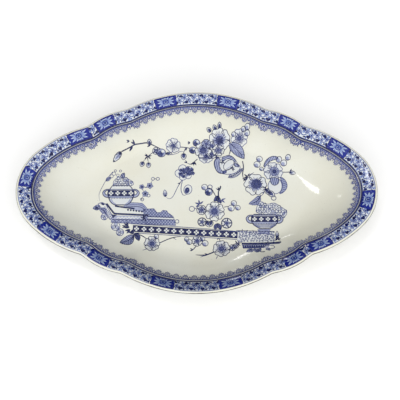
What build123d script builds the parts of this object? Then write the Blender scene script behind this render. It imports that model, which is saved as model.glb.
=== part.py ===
from build123d import *
import os
from math import atan2, cos, hypot, pi, sin

# A china serving platter: a pointed-oval dish whose edge runs in eight lobes, with a
# sloped rim, a stepped shoulder, a deep well and a foot ring, and a gilt line round
# the lip and another round the shoulder. Millimetres. The origin is on the table under
# the middle of the dish, +X runs to a tip, +Y to a long side and +Z is up.

# ---- Driving dimensions -------------------------------------------------------------
LENGTH = 305.0  # from tip to tip
WIDTH = 180.0  # across the two long sides
HEIGHT = 32.0  # from the table to the top of the lip

# The lobed edge, a quarter of it: tip lobe, bracket lobe and half of the side lobe.
TIP_RADIUS = 44.0
TIP_SWEEP = 44.5  # degrees of the tip arc on each side of the tip
TIP_NOTCH = (94.5, 57.6)  # where the tip lobe meets the bracket lobe
SIDE_NOTCH = (61.8, 73.2)  # where the bracket lobe meets the side lobe
BRACKET_RISE = 2.7  # how far the bracket lobe bulges from its chord
NOTCH_RADIUS = 7.0
TIP_WIDENING = 0.2  # how much wider the rim's bands are at the tips, as a share

# The rim, as distances inward from the edge.
LIP = 3.1  # the plain rounded lip
BORDER = 10.2  # outer edge to shoulder
LEDGE = 1.2  # the flat step that carries the shoulder's gilt line
STEP = 0.5  # how far the ledge lies below the rim's inner edge
RIM_FALL = 3.4  # how far the rim falls from the lip to the shoulder
RIM_THICKNESS = 4.2  # measured straight down
LIP_FACE = 3.2  # height of the lip's outer face
LIP_ROUND_TOP = 1.4
LIP_ROUND_BELOW = 0.9

# The well, down to a flat elliptical floor, and the foot ring under it.
FLOOR = 8.0  # height of the floor above the table
FLOOR_HALF_LENGTH = 92.0
FLOOR_HALF_WIDTH = 46.0
WALL_CURVE = 1.9  # power of the wall's curve, from the steep shoulder to the floor
FLOOR_THICKNESS = 4.5
FOOT_HALF_LENGTH = 89.0
FOOT_HALF_WIDTH = 43.0
FOOT_WIDTH = 5.0
FOOT_ROUND = 1.3

GILT_THICKNESS = 0.25

# ---- Worked-out sizes ---------------------------------------------------------------
SHOULDER = HEIGHT - RIM_FALL - STEP  # height of the ledge
FOOT_HEIGHT = FLOOR - FLOOR_THICKNESS
LIP_BASE = HEIGHT - LIP_FACE
RIM_BASE = SHOULDER - RIM_THICKNESS
GILT_BASE = LIP_BASE + LIP_ROUND_BELOW
GILT_HEIGHT = LIP_FACE - LIP_ROUND_TOP - LIP_ROUND_BELOW
SIDE_RISE = WIDTH / 2 - SIDE_NOTCH[1]
SIDE_RADIUS = (SIDE_NOTCH[0] ** 2 + SIDE_RISE**2) / (2 * SIDE_RISE)
CLEARANCE = 5.0  # how far a cutting shape stands above the lip

# ---- Resolution of the curves -------------------------------------------------------
QUARTER_STEPS = 48
WALL_STEPS = 6
ROUND_STEPS = 3


os.makedirs("parts", exist_ok=True)


# ---- The lobed edge -----------------------------------------------------------------
with BuildLine() as quarter:
    tip = JernArc((LENGTH / 2, 0), (0, 1), TIP_RADIUS, TIP_SWEEP)
    flank = TangentArc(tip @ 1, TIP_NOTCH, tangent=tip % 1)
    bracket = SagittaArc(TIP_NOTCH, SIDE_NOTCH, -BRACKET_RISE)
    side = RadiusArc(SIDE_NOTCH, (0, WIDTH / 2), -SIDE_RADIUS)
    notches = [v for v in quarter.vertices() if tuple(v)[:2] in (TIP_NOTCH, SIDE_NOTCH)]
    fillet(notches, NOTCH_RADIUS)
edge = quarter.wires()[0]


def level_point(position, inset, share):
    """A point of a closed level, at a position from 0 at the tip to 1 at the side.

    It lies inset inward from the edge, and share of the way on to the floor's ellipse.
    """
    on_edge = edge.position_at(position)
    along = edge.tangent_at(position)
    wide = inset * (1 + TIP_WIDENING * (2 * on_edge.X / LENGTH) ** 2)
    x, y = on_edge.X - along.Y * wide, on_edge.Y + along.X * wide
    angle = atan2(y, x)
    reach = 1 / hypot(cos(angle) / FLOOR_HALF_LENGTH, sin(angle) / FLOOR_HALF_WIDTH)
    return (x + (reach * cos(angle) - x) * share, y + (reach * sin(angle) - y) * share)


def level(inset, share=0.0):
    """The whole closed level as points, four mirrored quarters starting at a tip."""
    points = [level_point(i / QUARTER_STEPS, inset, share) for i in range(QUARTER_STEPS + 1)]
    there = points[:-1]
    back = points[:0:-1]
    return (
        there
        + [(-x, y) for x, y in back]
        + [(-x, -y) for x, y in there]
        + [(x, -y) for x, y in back]
    )


def level_face(inset, share=0.0):
    """A level as a flat face."""
    with BuildSketch() as face:
        with BuildLine():
            Spline(*level(inset, share), periodic=True)
        make_face()
    return face.sketch


def lip_levels():
    """The levels of the lip's outer face, as inset and height, rounded below and on top."""
    turns = [i * pi / 2 / ROUND_STEPS for i in range(ROUND_STEPS + 1)]
    below = [
        (LIP_ROUND_BELOW * (1 - sin(turn)), LIP_BASE + LIP_ROUND_BELOW * (1 - cos(turn)))
        for turn in turns
    ]
    top = [
        (LIP_ROUND_TOP * (1 - cos(turn)), HEIGHT - LIP_ROUND_TOP * (1 - sin(turn)))
        for turn in turns
    ]
    return below + top


def wall_levels(top, bottom):
    """The levels of a wall from the shoulder to the floor, as share and height."""
    shares = [i / WALL_STEPS for i in range(WALL_STEPS + 1)]
    return [(share, bottom + (top - bottom) * (1 - share) ** WALL_CURVE) for share in shares]


# ---- China body ---------------------------------------------------------------------
with BuildPart() as china_body:
    # The rounded lip, as a thick plate that the rim and the well are then cut into.
    for inset, height in lip_levels():
        with BuildSketch(Plane.XY.offset(height)):
            add(level_face(inset))
    loft()

    # The underside of the rim, from the lip in to the shoulder.
    with BuildSketch(Plane.XY.offset(LIP_BASE)):
        add(level_face(LIP_ROUND_BELOW))
    with BuildSketch(Plane.XY.offset(RIM_BASE)):
        add(level_face(BORDER))
    loft()

    # The outside of the bowl, down to the flat that the foot ring is luted to.
    for share, height in wall_levels(RIM_BASE, FOOT_HEIGHT):
        with BuildSketch(Plane.XY.offset(height)):
            add(level_face(BORDER, share))
    loft()

    # The top of the rim, falling from the lip to the step at the shoulder.
    slope = RIM_FALL / (BORDER - LIP)
    with BuildSketch(Plane.XY.offset(HEIGHT + CLEARANCE)):
        add(level_face(LIP - CLEARANCE / slope))
    with BuildSketch(Plane.XY.offset(HEIGHT - RIM_FALL)):
        add(level_face(BORDER))
    loft(mode=Mode.SUBTRACT)

    # The step at the shoulder.
    with BuildSketch(Plane.XY.offset(SHOULDER)):
        add(level_face(BORDER))
    extrude(amount=STEP, mode=Mode.SUBTRACT)

    # The well, from the ledge down to the floor.
    for share, height in wall_levels(SHOULDER, FLOOR):
        with BuildSketch(Plane.XY.offset(height)):
            add(level_face(BORDER + LEDGE, share))
    loft(mode=Mode.SUBTRACT)

    # Rebates that the two gilt lines lie in.
    with BuildSketch(Plane.XY.offset(GILT_BASE)):
        add(level_face(-CLEARANCE))
        add(level_face(GILT_THICKNESS), mode=Mode.SUBTRACT)
    extrude(amount=GILT_HEIGHT, mode=Mode.SUBTRACT)
china_body.part.label = "china_body"
export_step(china_body.part, "parts/china_body.step")


# ---- Gilt line round the lip --------------------------------------------------------
with BuildPart() as rim_gilt_line:
    with BuildSketch(Plane.XY.offset(GILT_BASE)):
        add(level_face(0))
        add(level_face(GILT_THICKNESS), mode=Mode.SUBTRACT)
    extrude(amount=GILT_HEIGHT)
rim_gilt_line.part.label = "rim_gilt_line"
export_step(rim_gilt_line.part, "parts/rim_gilt_line.step")


# ---- Gilt line on the shoulder's ledge ----------------------------------------------
with BuildPart() as shoulder_gilt_line:
    with BuildSketch(Plane.XY.offset(SHOULDER)):
        add(level_face(BORDER))
        add(level_face(BORDER + LEDGE), mode=Mode.SUBTRACT)
    extrude(amount=GILT_THICKNESS)
shoulder_gilt_line.part.label = "shoulder_gilt_line"
export_step(shoulder_gilt_line.part, "parts/shoulder_gilt_line.step")


# ---- Foot ring, luted to the back ---------------------------------------------------
with BuildPart() as foot_ring:
    with BuildSketch():
        Ellipse(FOOT_HALF_LENGTH, FOOT_HALF_WIDTH)
        Ellipse(FOOT_HALF_LENGTH - FOOT_WIDTH, FOOT_HALF_WIDTH - FOOT_WIDTH, mode=Mode.SUBTRACT)
    extrude(amount=FOOT_HEIGHT)
    fillet(foot_ring.edges().group_by(Axis.Z)[0], FOOT_ROUND)
foot_ring.part.label = "foot_ring"
export_step(foot_ring.part, "parts/foot_ring.step")
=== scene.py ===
"""The looks of a blue-printed china serving platter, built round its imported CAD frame.

Shapes are worked out in millimetres, in the CAD frame, and scaled to metres when a mesh is made.
The dish and its foot are fine closed meshes. The blue transfer print is real geometry too: thin
closed shapes that are drawn flat, in plan, and then laid on the dish.
"""
import random

import bpy
import numpy as np
from mathutils import Matrix, Vector, noise
from mathutils.bvhtree import BVHTree
from mathutils.geometry import delaunay_2d_cdt
from mathutils.interpolate import poly_3d_calc


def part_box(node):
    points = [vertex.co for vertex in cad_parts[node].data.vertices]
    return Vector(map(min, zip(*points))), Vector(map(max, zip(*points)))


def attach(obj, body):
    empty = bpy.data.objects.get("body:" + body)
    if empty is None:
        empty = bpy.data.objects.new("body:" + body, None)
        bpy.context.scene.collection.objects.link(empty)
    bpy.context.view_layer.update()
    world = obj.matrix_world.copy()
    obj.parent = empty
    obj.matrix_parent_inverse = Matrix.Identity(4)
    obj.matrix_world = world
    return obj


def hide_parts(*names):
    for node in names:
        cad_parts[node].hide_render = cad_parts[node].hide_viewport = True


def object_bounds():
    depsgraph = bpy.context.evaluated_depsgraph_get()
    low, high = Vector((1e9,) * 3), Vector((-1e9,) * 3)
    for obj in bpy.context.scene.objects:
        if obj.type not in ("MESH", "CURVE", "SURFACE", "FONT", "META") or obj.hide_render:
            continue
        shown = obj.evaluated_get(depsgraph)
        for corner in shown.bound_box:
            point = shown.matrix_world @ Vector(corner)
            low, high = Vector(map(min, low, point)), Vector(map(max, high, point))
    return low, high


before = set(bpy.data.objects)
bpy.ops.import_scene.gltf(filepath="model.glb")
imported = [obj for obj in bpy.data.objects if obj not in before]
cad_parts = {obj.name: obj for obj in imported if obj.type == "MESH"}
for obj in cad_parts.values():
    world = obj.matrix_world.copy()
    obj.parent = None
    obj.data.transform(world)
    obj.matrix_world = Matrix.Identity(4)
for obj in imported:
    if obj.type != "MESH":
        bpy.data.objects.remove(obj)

MM = 0.001
TAU = 2 * np.pi
BODY = "root"

# ---- Sizes taken from the frame -----------------------------------------------------
cad_low, cad_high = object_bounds()
shoulder_low, shoulder_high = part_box("shoulder_gilt_line")
foot_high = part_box("foot_ring")[1]

HALF_LENGTH = cad_high.x / MM
HALF_WIDTH = cad_high.y / MM
HEIGHT = cad_high.z / MM
SHOULDER = shoulder_low.z / MM
BORDER = HALF_WIDTH - shoulder_high.y / MM  # edge to shoulder at the long sides
TIP_WIDENING = (HALF_LENGTH - shoulder_high.x / MM) / BORDER - 1
FOOT_TOP = foot_high.z / MM
FOOT_HALF = np.array([foot_high.x, foot_high.y]) / MM

# ---- Shape, as in the CAD model -----------------------------------------------------
TIP_RADIUS = 44.0
TIP_SWEEP = np.radians(44.5)
TIP_NOTCH = (94.5, 57.6)
SIDE_NOTCH = (61.8, 73.2)
BRACKET_RISE = 2.7
NOTCH_SOFTENING = 2.0  # how far the notches are rounded
LEDGE = 1.2
RIM_THICKNESS = 4.2
FLOOR = 8.0
FLOOR_HALF = np.array([92.0, 46.0])
WALL_CURVE = 1.9
FOOT_WIDTH = 5.0
COLUMNS = 768  # of the body's mesh, round the dish
ARC_POINTS = 200  # on each arc that the edge is worked out from
EDGE_POINTS = 3840  # round the worked-out edge


# ---- The lobed edge -----------------------------------------------------------------
def arc(start, end, rise, count=ARC_POINTS):
    """Points on a circular arc that bulges by rise to the right of the way from start to end."""
    start, end = np.array(start, float), np.array(end, float)
    chord = end - start
    length = np.hypot(*chord)
    outward = np.array([chord[1], -chord[0]]) / length
    radius = (length**2 / 4 + rise**2) / (2 * rise)
    centre = (start + end) / 2 - outward * (radius - rise)
    first = np.arctan2(*(start - centre)[::-1])
    last = np.arctan2(*(end - centre)[::-1])
    sweep = (last - first + np.pi) % TAU - np.pi
    angles = first + sweep * np.linspace(0, 1, count)
    return centre + radius * np.c_[np.cos(angles), np.sin(angles)]


def spaced(points, count):
    """The closed line through points, as count points at even distances, and its length."""
    loop = np.vstack([points, points[:1]])
    walked = np.r_[0, np.cumsum(np.hypot(*np.diff(loop, axis=0).T))]
    at = np.linspace(0, walked[-1], count + 1)[:-1]
    return np.c_[np.interp(at, walked, loop[:, 0]), np.interp(at, walked, loop[:, 1])], walked[-1]


def lobed_edge():
    """The dish's edge, anticlockwise from the +X tip: points, inward directions and length."""
    turns = np.linspace(0, TIP_SWEEP, ARC_POINTS)
    tip = np.c_[HALF_LENGTH - TIP_RADIUS * (1 - np.cos(turns)), TIP_RADIUS * np.sin(turns)]
    heading = np.array([-np.sin(TIP_SWEEP), np.cos(TIP_SWEEP)])
    reach = np.array(TIP_NOTCH) - tip[-1]
    lean = np.arctan2(heading[0] * reach[1] - heading[1] * reach[0], heading @ reach)
    flank = arc(tip[-1], TIP_NOTCH, np.hypot(*reach) / 2 * np.tan(lean / 2))
    bracket = arc(TIP_NOTCH, SIDE_NOTCH, BRACKET_RISE)
    far_notch = (-SIDE_NOTCH[0], SIDE_NOTCH[1])
    side = arc(SIDE_NOTCH, far_notch, HALF_WIDTH - SIDE_NOTCH[1], 2 * ARC_POINTS + 1)
    quarter = np.vstack([tip, flank[1:], bracket[1:], side[1:ARC_POINTS + 1]])
    half = np.vstack([quarter, quarter[-2::-1] * [-1, 1]])
    line, length = spaced(np.vstack([half, half[-2:0:-1] * [1, -1]]), EDGE_POINTS)
    ahead = np.arange(EDGE_POINTS)
    away = np.minimum(ahead, EDGE_POINTS - ahead) * length / EDGE_POINTS
    weights = np.exp(-0.5 * (away / NOTCH_SOFTENING) ** 2)
    blur = np.fft.fft(weights / weights.sum())
    line = np.c_[[np.real(np.fft.ifft(np.fft.fft(axis) * blur)) for axis in line.T]].T
    line, length = spaced(line, EDGE_POINTS)
    along = np.roll(line, -1, 0) - np.roll(line, 1, 0)
    along /= np.hypot(*along.T)[:, None]
    return line, np.c_[-along[:, 1], along[:, 0]], length


EDGE, INWARD, AROUND = lobed_edge()


def on_rim(along, inset):
    """Plan points that lie inset inward from the edge, at a distance along it."""
    at = np.asarray(along, float) / AROUND * len(EDGE)
    low = np.floor(at).astype(int)
    part = (at - low)[..., None]
    here, following = low % len(EDGE), (low + 1) % len(EDGE)
    point = EDGE[here] * (1 - part) + EDGE[following] * part
    inward = INWARD[here] * (1 - part) + INWARD[following] * part
    wide = np.asarray(inset, float) * (1 + TIP_WIDENING * (point[..., 0] / HALF_LENGTH) ** 2)
    return point + inward * wide[..., None]


STATIONS = np.arange(COLUMNS) * AROUND / COLUMNS


def ring(inset, share, height):
    """A closed level of the dish, inset from the edge and share of the way to the floor."""
    plan = on_rim(STATIONS, inset)
    angle = np.arctan2(plan[:, 1], plan[:, 0])
    reach = 1 / np.hypot(np.cos(angle) / FLOOR_HALF[0], np.sin(angle) / FLOOR_HALF[1])
    plan += (np.c_[reach * np.cos(angle), reach * np.sin(angle)] - plan) * share
    return np.c_[plan, np.full(len(plan), height)]


# ---- Meshes -------------------------------------------------------------------------
def soften(points, rounds, closed=False):
    """Rounds the corners of a line of points by cutting them, again and again."""
    points = np.array(points, float)
    for _ in range(rounds):
        following = np.roll(points, -1, 0) if closed else points[1:]
        start = points if closed else points[:-1]
        cut = np.stack([0.75 * start + 0.25 * following, 0.25 * start + 0.75 * following], 1)
        cut = cut.reshape(-1, points.shape[1])
        points = cut if closed else np.vstack([points[:1], cut[1:-1], points[-1:]])
    return points


def new_piece(name, points, faces, material, normals=None):
    """A mesh piece from points in millimetres, riding on the dish."""
    mesh = bpy.data.meshes.new(name)
    mesh.from_pydata((np.asarray(points) * MM).tolist(), [], faces)
    mesh.polygons.foreach_set("use_smooth", np.ones(len(mesh.polygons), bool))
    mesh.update()
    if normals is not None:
        mesh.normals_split_custom_set_from_vertices(normals.tolist())
    mesh.materials.append(material)
    piece = bpy.data.objects.new(name, mesh)
    bpy.context.scene.collection.objects.link(piece)
    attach(piece, BODY)
    return piece


def ladder(rings, closed=False):
    """Faces between rings of equal or halving numbers of points, which are numbered in order."""
    starts = np.r_[0, np.cumsum([len(r) for r in rings])]
    pairs = list(zip(range(len(rings) - 1), range(1, len(rings))))
    if closed:
        pairs.append((len(rings) - 1, 0))
    faces = []
    for a, b in pairs:
        n, m = len(rings[a]), len(rings[b])
        i, k = starts[a], starts[b]
        if n == m:
            faces += [(i + j, k + j, k + (j + 1) % n, i + (j + 1) % n) for j in range(n)]
        elif n == 2 * m:
            for j in range(m):
                left, mid, right = i + 2 * j, i + 2 * j + 1, i + (2 * j + 2) % n
                here, following = k + j, k + (j + 1) % m
                faces += [(left, here, mid), (mid, here, following), (mid, following, right)]
        else:
            for j in range(n):
                left, mid, right = k + 2 * j, k + 2 * j + 1, k + (2 * j + 2) % m
                here, following = i + j, i + (j + 1) % n
                faces += [(here, left, mid), (here, mid, following), (following, mid, right)]
    return faces


FEWEST_POINTS = 12  # where the halving stops
SHRINKING = 0.72  # from one ring to the next inside it


def middle_rings(rim_ring):
    """Rings that shrink to the middle of a flat level, halving their points on the way."""
    rings, reach = [], 1.0
    while len(rim_ring) > FEWEST_POINTS:
        rim_ring = rim_ring[::2]
        reach *= SHRINKING
        rings.append(rim_ring * [reach, reach, 1])
    return rings


def wall(top, bottom, steps):
    """Rows of the bowl's wall, from the shoulder down to the floor."""
    shares = np.linspace(0, 1, steps)
    return [(BORDER + LEDGE, s, bottom + (top - bottom) * (1 - s) ** WALL_CURVE) for s in shares]


LIP_TOP = HEIGHT - 0.02
RIM_KEYS = [  # inset and height round the rim, from the ledge over the lip to the underside
    (BORDER + LEDGE, SHOULDER), (BORDER + 0.35, SHOULDER - 0.25), (BORDER - 0.15, SHOULDER + 0.25),
    (BORDER - 0.8, SHOULDER + 0.85), (7.2, SHOULDER + 2.4), (4.4, HEIGHT - 0.4), (2.6, LIP_TOP),
    (1.1, LIP_TOP), (0.1, HEIGHT - 0.6), (-0.05, HEIGHT - 1.7), (0.15, HEIGHT - 2.8), (1.4, HEIGHT - 3.7),
    (BORDER - 2, SHOULDER - RIM_THICKNESS + 1.0), (BORDER + LEDGE, SHOULDER - RIM_THICKNESS),
]
RIM_ROWS = soften(RIM_KEYS, 2)
WALL_ROWS = 26  # down the inside of the bowl
BACK_ROWS = 18  # down its outside
POOL_AND_SHADE_INSET = BORDER + 0.8  # where the glaze has run together most, in the crease at the shoulder, with painted shade there
POOL_AND_SHADE_WIDTH = 0.8
WALL_PAINTED_SHADE = 0.16  # painted shade at the top of the wall, as a share of the most
WALL_PAINTED_SHADE_REACH = 0.2  # how far down the wall that goes, as a share of the wall


def pooling_and_shade(inset, share):
    """How dark the glaze is at a row, from 0 to 1: run together, with painted shade, in the crease at the
    shoulder, and painted shade alone at the top of the wall.
    """
    if share == 0:
        return np.exp(-(((inset - POOL_AND_SHADE_INSET) / POOL_AND_SHADE_WIDTH) ** 2))
    # painted shade down the top of the wall
    return WALL_PAINTED_SHADE * np.exp(-((share / WALL_PAINTED_SHADE_REACH) ** 2))


def body_rings():
    """The dish's rings from the middle of the floor, over the lip, to the middle of the base."""
    rows = wall(SHOULDER, FLOOR, WALL_ROWS)[:0:-1]
    rows += [(inset, 0, height) for inset, height in RIM_ROWS]
    rows += wall(SHOULDER - RIM_THICKNESS, FOOT_TOP, BACK_ROWS)[1:]
    rings = [ring(*row) for row in rows]
    pooled_and_shaded = [pooling_and_shade(inset, share) for inset, share, _ in rows]
    inner, outer = middle_rings(rings[0])[::-1], middle_rings(rings[-1])
    pooled_and_shaded = [0] * len(inner) + pooled_and_shaded + [0] * len(outer)
    return inner + rings + outer, pooled_and_shaded


WAVES = ((0.022, 0.16), (0.06, 0.04))  # how close together they are, and their height


def uneven(points):
    """The slight waviness of a pressed and fired dish."""
    return np.array([sum(noise.noise(Vector(p) * often) * high for often, high in WAVES) for p in points])


def build_body(material):
    """The glazed dish, which also carries how far its glaze has pooled and how much shade is painted on it.
    """
    rings, pooled_and_shaded = body_rings()
    points = np.vstack(rings)
    faces = ladder(rings)
    first, last = len(rings[0]), len(points) - len(rings[-1])
    faces.append(tuple(range(first)))
    faces.append(tuple(range(len(points) - 1, last - 1, -1)))
    points[:, 2] += uneven(points)
    piece = new_piece("dish", points, faces, material)
    layer = piece.data.attributes.new("pooled_and_shaded", "FLOAT", "POINT")
    layer.data.foreach_set("value", np.repeat(pooled_and_shaded, [len(r) for r in rings]).astype(np.float32))
    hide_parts("china_body")
    return piece


FOOT_COLUMNS = 360


def build_foot(material):
    """The foot ring, with glaze run into its corners and a bare flat base."""
    inner = -FOOT_WIDTH
    keys = [  # how far outside the foot's outer edge, and height
        (2.6, FOOT_TOP + 1.2), (1.6, FOOT_TOP + 0.1), (0.2, FOOT_TOP - 0.5), (-0.1, 1.2), (-0.9, 0),
        (-2.2, 0), (inner + 2.2, 0), (inner + 0.9, 0), (inner + 0.1, 1.2), (inner - 0.2, FOOT_TOP - 0.5),
        (inner - 1.4, FOOT_TOP + 0.1), (inner - 2.4, FOOT_TOP + 1.2),
    ]
    turns = np.linspace(0, TAU, FOOT_COLUMNS + 1)[:-1]
    rings = []
    for out, height in soften(keys, 2, closed=True):
        half_length, half_width = FOOT_HALF + out
        level = np.full(FOOT_COLUMNS, height)
        rings.append(np.c_[half_length * np.cos(turns), half_width * np.sin(turns), level])
    points = np.vstack(rings)
    faces = [face[::-1] for face in ladder(rings, closed=True)]
    piece = new_piece("foot", points, faces, material)
    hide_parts("foot_ring")
    return piece


GILT_COLUMNS = 1536
GILT_ROWS = 5
GILT_LIFTS = (0.035, -0.06)  # of its outer and its buried face from the china
NARROWEST_GILT = 0.08
EVEN_WEAR = 0.2  # lost from both edges everywhere, as a share of the wear
RAGGED = ((0.05, 3), (0.35, 8), (0.05, 21), (0.35, 27))  # coarse and fine noise for either edge


def build_gilding(name, start, end, wear, stands_for, material):
    """A worn gold line: a skin over the rim's rows from start to end, measured along the profile."""
    walked = np.r_[0, np.cumsum(np.hypot(*np.diff(RIM_ROWS, axis=0).T))]
    insets, heights = RIM_ROWS.T
    stations = np.arange(GILT_COLUMNS) * AROUND / GILT_COLUMNS
    ragged = np.array([
        [noise.noise(Vector((x * often, y * often, layer))) for often, layer in RAGGED]
        for x, y in on_rim(stations, 0)
    ])
    low = start + wear * (ragged[:, 0] + 0.5 * ragged[:, 1] + EVEN_WEAR)
    high = end - wear * (ragged[:, 2] + 0.5 * ragged[:, 3] + EVEN_WEAR)
    high = np.maximum(high, low + NARROWEST_GILT)
    rows = []
    for lift in GILT_LIFTS:
        shares = np.linspace(0, 1, GILT_ROWS)
        for share in shares if lift > 0 else shares[::-1]:
            at = low + (high - low) * share
            inset, height = np.interp(at, walked, insets), np.interp(at, walked, heights)
            ahead = np.c_[np.interp(at + 0.1, walked, insets), np.interp(at + 0.1, walked, heights)]
            slope = ahead - np.c_[inset, height]
            slope /= np.hypot(*slope.T)[:, None]
            inset, height = inset + slope[:, 1] * lift, height - slope[:, 0] * lift
            rows.append(np.c_[on_rim(stations, inset), height])
    points = np.vstack(rows)
    points[:, 2] += uneven(points)
    piece = new_piece(name, points, ladder(rows, closed=True), material)
    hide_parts(stands_for)
    return piece


# ---- Drawing the print flat, in plan ------------------------------------------------
INK_LIFT = {"paper": 0.0, "wash": 0.009, "mid": 0.018, "dark": 0.027}
LINE_WEIGHT = 1.55  # of all drawn lines
FIRST_LIFT = 0.025  # of the lowest layer above the china
LEVEL_LIFT = 0.036  # from one level of overlapping motifs to the next
SUNK = 0.05  # how far the closed shapes reach into the china
GRID = 1.0  # between points inside a filled area
STEP = 0.9  # between points along a line
SIDE_STEP = 1.2  # between points along a straight side
sheets = {}


def circle(x, y, radius, count, stretch=1.0):
    """A round outline, or an oval one when it is stretched along y."""
    turns = np.linspace(0, TAU, count + 1)[:-1]
    return np.c_[x + radius * np.cos(turns), y + radius * stretch * np.sin(turns)]


def evened(line, closed=False, step=STEP):
    """A line through the given points, rounded and with points about a step apart."""
    line = soften(line, 2, closed)
    if closed:
        line = np.vstack([line, line[:1]])
    walked = np.r_[0, np.cumsum(np.hypot(*np.diff(line, axis=0).T))]
    count = max(int(np.ceil(walked[-1] / step)), 2 + 4 * closed)
    at = np.linspace(0, walked[-1], count + 1)
    if closed:
        at = at[:-1]
    return np.c_[np.interp(at, walked, line[:, 0]), np.interp(at, walked, line[:, 1])]


def polygon(corners):
    """A closed outline with straight sides."""
    corners = np.array(corners, float)
    sides = []
    for start, end in zip(corners, np.roll(corners, -1, 0)):
        count = max(int(np.hypot(*(end - start)) / SIDE_STEP), 1)
        sides.append(start + (end - start) * (np.arange(count) / count)[:, None])
    return np.vstack(sides)


def panel(x0, y0, x1, y1):
    """A rectangle from one corner to the opposite one."""
    return polygon([(x0, y0), (x1, y0), (x1, y1), (x0, y1)])


class Pen:
    """Draws shapes in a local frame. Their ink and level say which sheet and how high they lie."""

    def __init__(self, group, place=lambda points: points, level=0, size=1.0):
        self.group, self.place, self.level, self.size = group, place, level, size

    def at(self, x, y, turn=0.0, size=1.0, stretch=1.0, level=None):
        """A pen in a frame that is moved, turned in degrees and scaled within this one."""
        c, s = np.cos(np.radians(turn)) * size, np.sin(np.radians(turn)) * size

        def place(points):
            u, v = points[:, 0], points[:, 1] * stretch
            return self.place(np.c_[x + c * u - s * v, y + s * u + c * v])

        return Pen(self.group, place, self.level if level is None else level, self.size * size)

    def on(self, level):
        """The same pen at another level."""
        return self.at(0, 0, level=level)

    def put(self, ink, points, faces):
        """Adds a shape to the sheet of this pen's group and an ink."""
        blank = {"points": [], "lifts": [], "faces": [], "count": 0}
        sheet = sheets.setdefault(f"{self.group}_{ink}", blank)
        start = sheet["count"]
        lift = FIRST_LIFT + LEVEL_LIFT * self.level + INK_LIFT[ink]
        sheet["points"].append(self.place(points))
        sheet["lifts"].append(np.full(len(points), lift))
        sheet["faces"] += [tuple(start + i for i in face) for face in faces]
        sheet["count"] += len(points)

    def area(self, ink, outline):
        """A filled area inside a closed outline."""
        outline = np.asarray(outline, float)
        low, high = outline.min(0), outline.max(0)
        step = GRID / self.size
        counts = np.maximum(((high - low) / step).astype(int), 0)
        xs = low[0] + (high[0] - low[0]) * (np.arange(counts[0]) + 0.5) / max(counts[0], 1)
        ys = low[1] + (high[1] - low[1]) * (np.arange(counts[1]) + 0.5) / max(counts[1], 1)
        inner = [Vector((x, y)) for x in xs for y in ys if inside(outline, x, y, step * 0.3)]
        points = [Vector(p) for p in outline] + inner
        found = delaunay_2d_cdt(points, [], [list(range(len(outline)))], 1, 1e-5)
        self.put(ink, np.array([list(p) for p in found[0]]), found[2])

    def stroke(self, ink, line, width, start=1.0, end=1.0):
        """A line whose width runs from start, over the full width, to end, as shares."""
        line = evened(line, step=STEP / self.size)
        along = np.gradient(line, axis=0)
        along /= np.hypot(*along.T)[:, None] + 1e-9
        walked = np.linspace(0, 1, len(line))
        swell = np.minimum(start + (1 - start) * walked * 3, end + (1 - end) * (1 - walked) * 3)
        half = (np.clip(swell, 0.12, 1) * LINE_WEIGHT * width / 2 / self.size)[:, None]
        side = np.c_[-along[:, 1], along[:, 0]] * half
        n = len(line)
        faces = [(i, i + n, i + n + 1, i + 1) for i in range(n - 1)]
        self.put(ink, np.vstack([line + side, line - side]), faces)

    def loop(self, ink, outline, width):
        """A closed line."""
        outline = np.asarray(outline, float)
        along = np.roll(outline, -1, 0) - np.roll(outline, 1, 0)
        along /= np.hypot(*along.T)[:, None] + 1e-9
        side = np.c_[-along[:, 1], along[:, 0]] * LINE_WEIGHT * width / 2 / self.size
        n = len(outline)
        faces = [(i, i + n, (i + 1) % n + n, (i + 1) % n) for i in range(n)]
        self.put(ink, np.vstack([outline + side, outline - side]), faces)

    def filled(self, fill, ink, outline, width=0.36):
        """An area with a line round it."""
        self.area(fill, outline)
        self.loop(ink, outline, width)

    def dot(self, ink, x, y, radius, count=8, stretch=1.0):
        """A small round or oval spot."""
        self.put(ink, circle(x, y, radius, count, stretch), [tuple(range(count))])

    def ring(self, ink, x, y, radius, width, count=14):
        """A round line."""
        self.loop(ink, circle(x, y, radius, count), width)


def inside(outline, x, y, margin):
    """Whether a point is inside an outline and at least margin from its points."""
    if np.min(np.hypot(outline[:, 0] - x, outline[:, 1] - y)) < margin:
        return False
    ax, ay = outline.T
    bx, by = np.roll(outline, -1, 0).T
    crosses = (ay > y) != (by > y)
    reach = ax + (y - ay) * (bx - ax) / np.where(by == ay, 1e-12, by - ay)
    return np.count_nonzero(crosses & (x < reach)) % 2 == 1


# ---- Laying the print on the dish ---------------------------------------------------
def surface_of(piece):
    """What laying needs of the dish: a search tree, its points, faces and normals."""
    mesh = piece.data
    points = [v.co.copy() for v in mesh.vertices]
    faces = [tuple(p.vertices) for p in mesh.polygons]
    normals = [v.normal.copy() for v in mesh.vertices]
    return BVHTree.FromPolygons(points, faces), points, faces, normals


CAST_FROM = 0.1  # metres above the table, well clear of the dish


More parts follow.
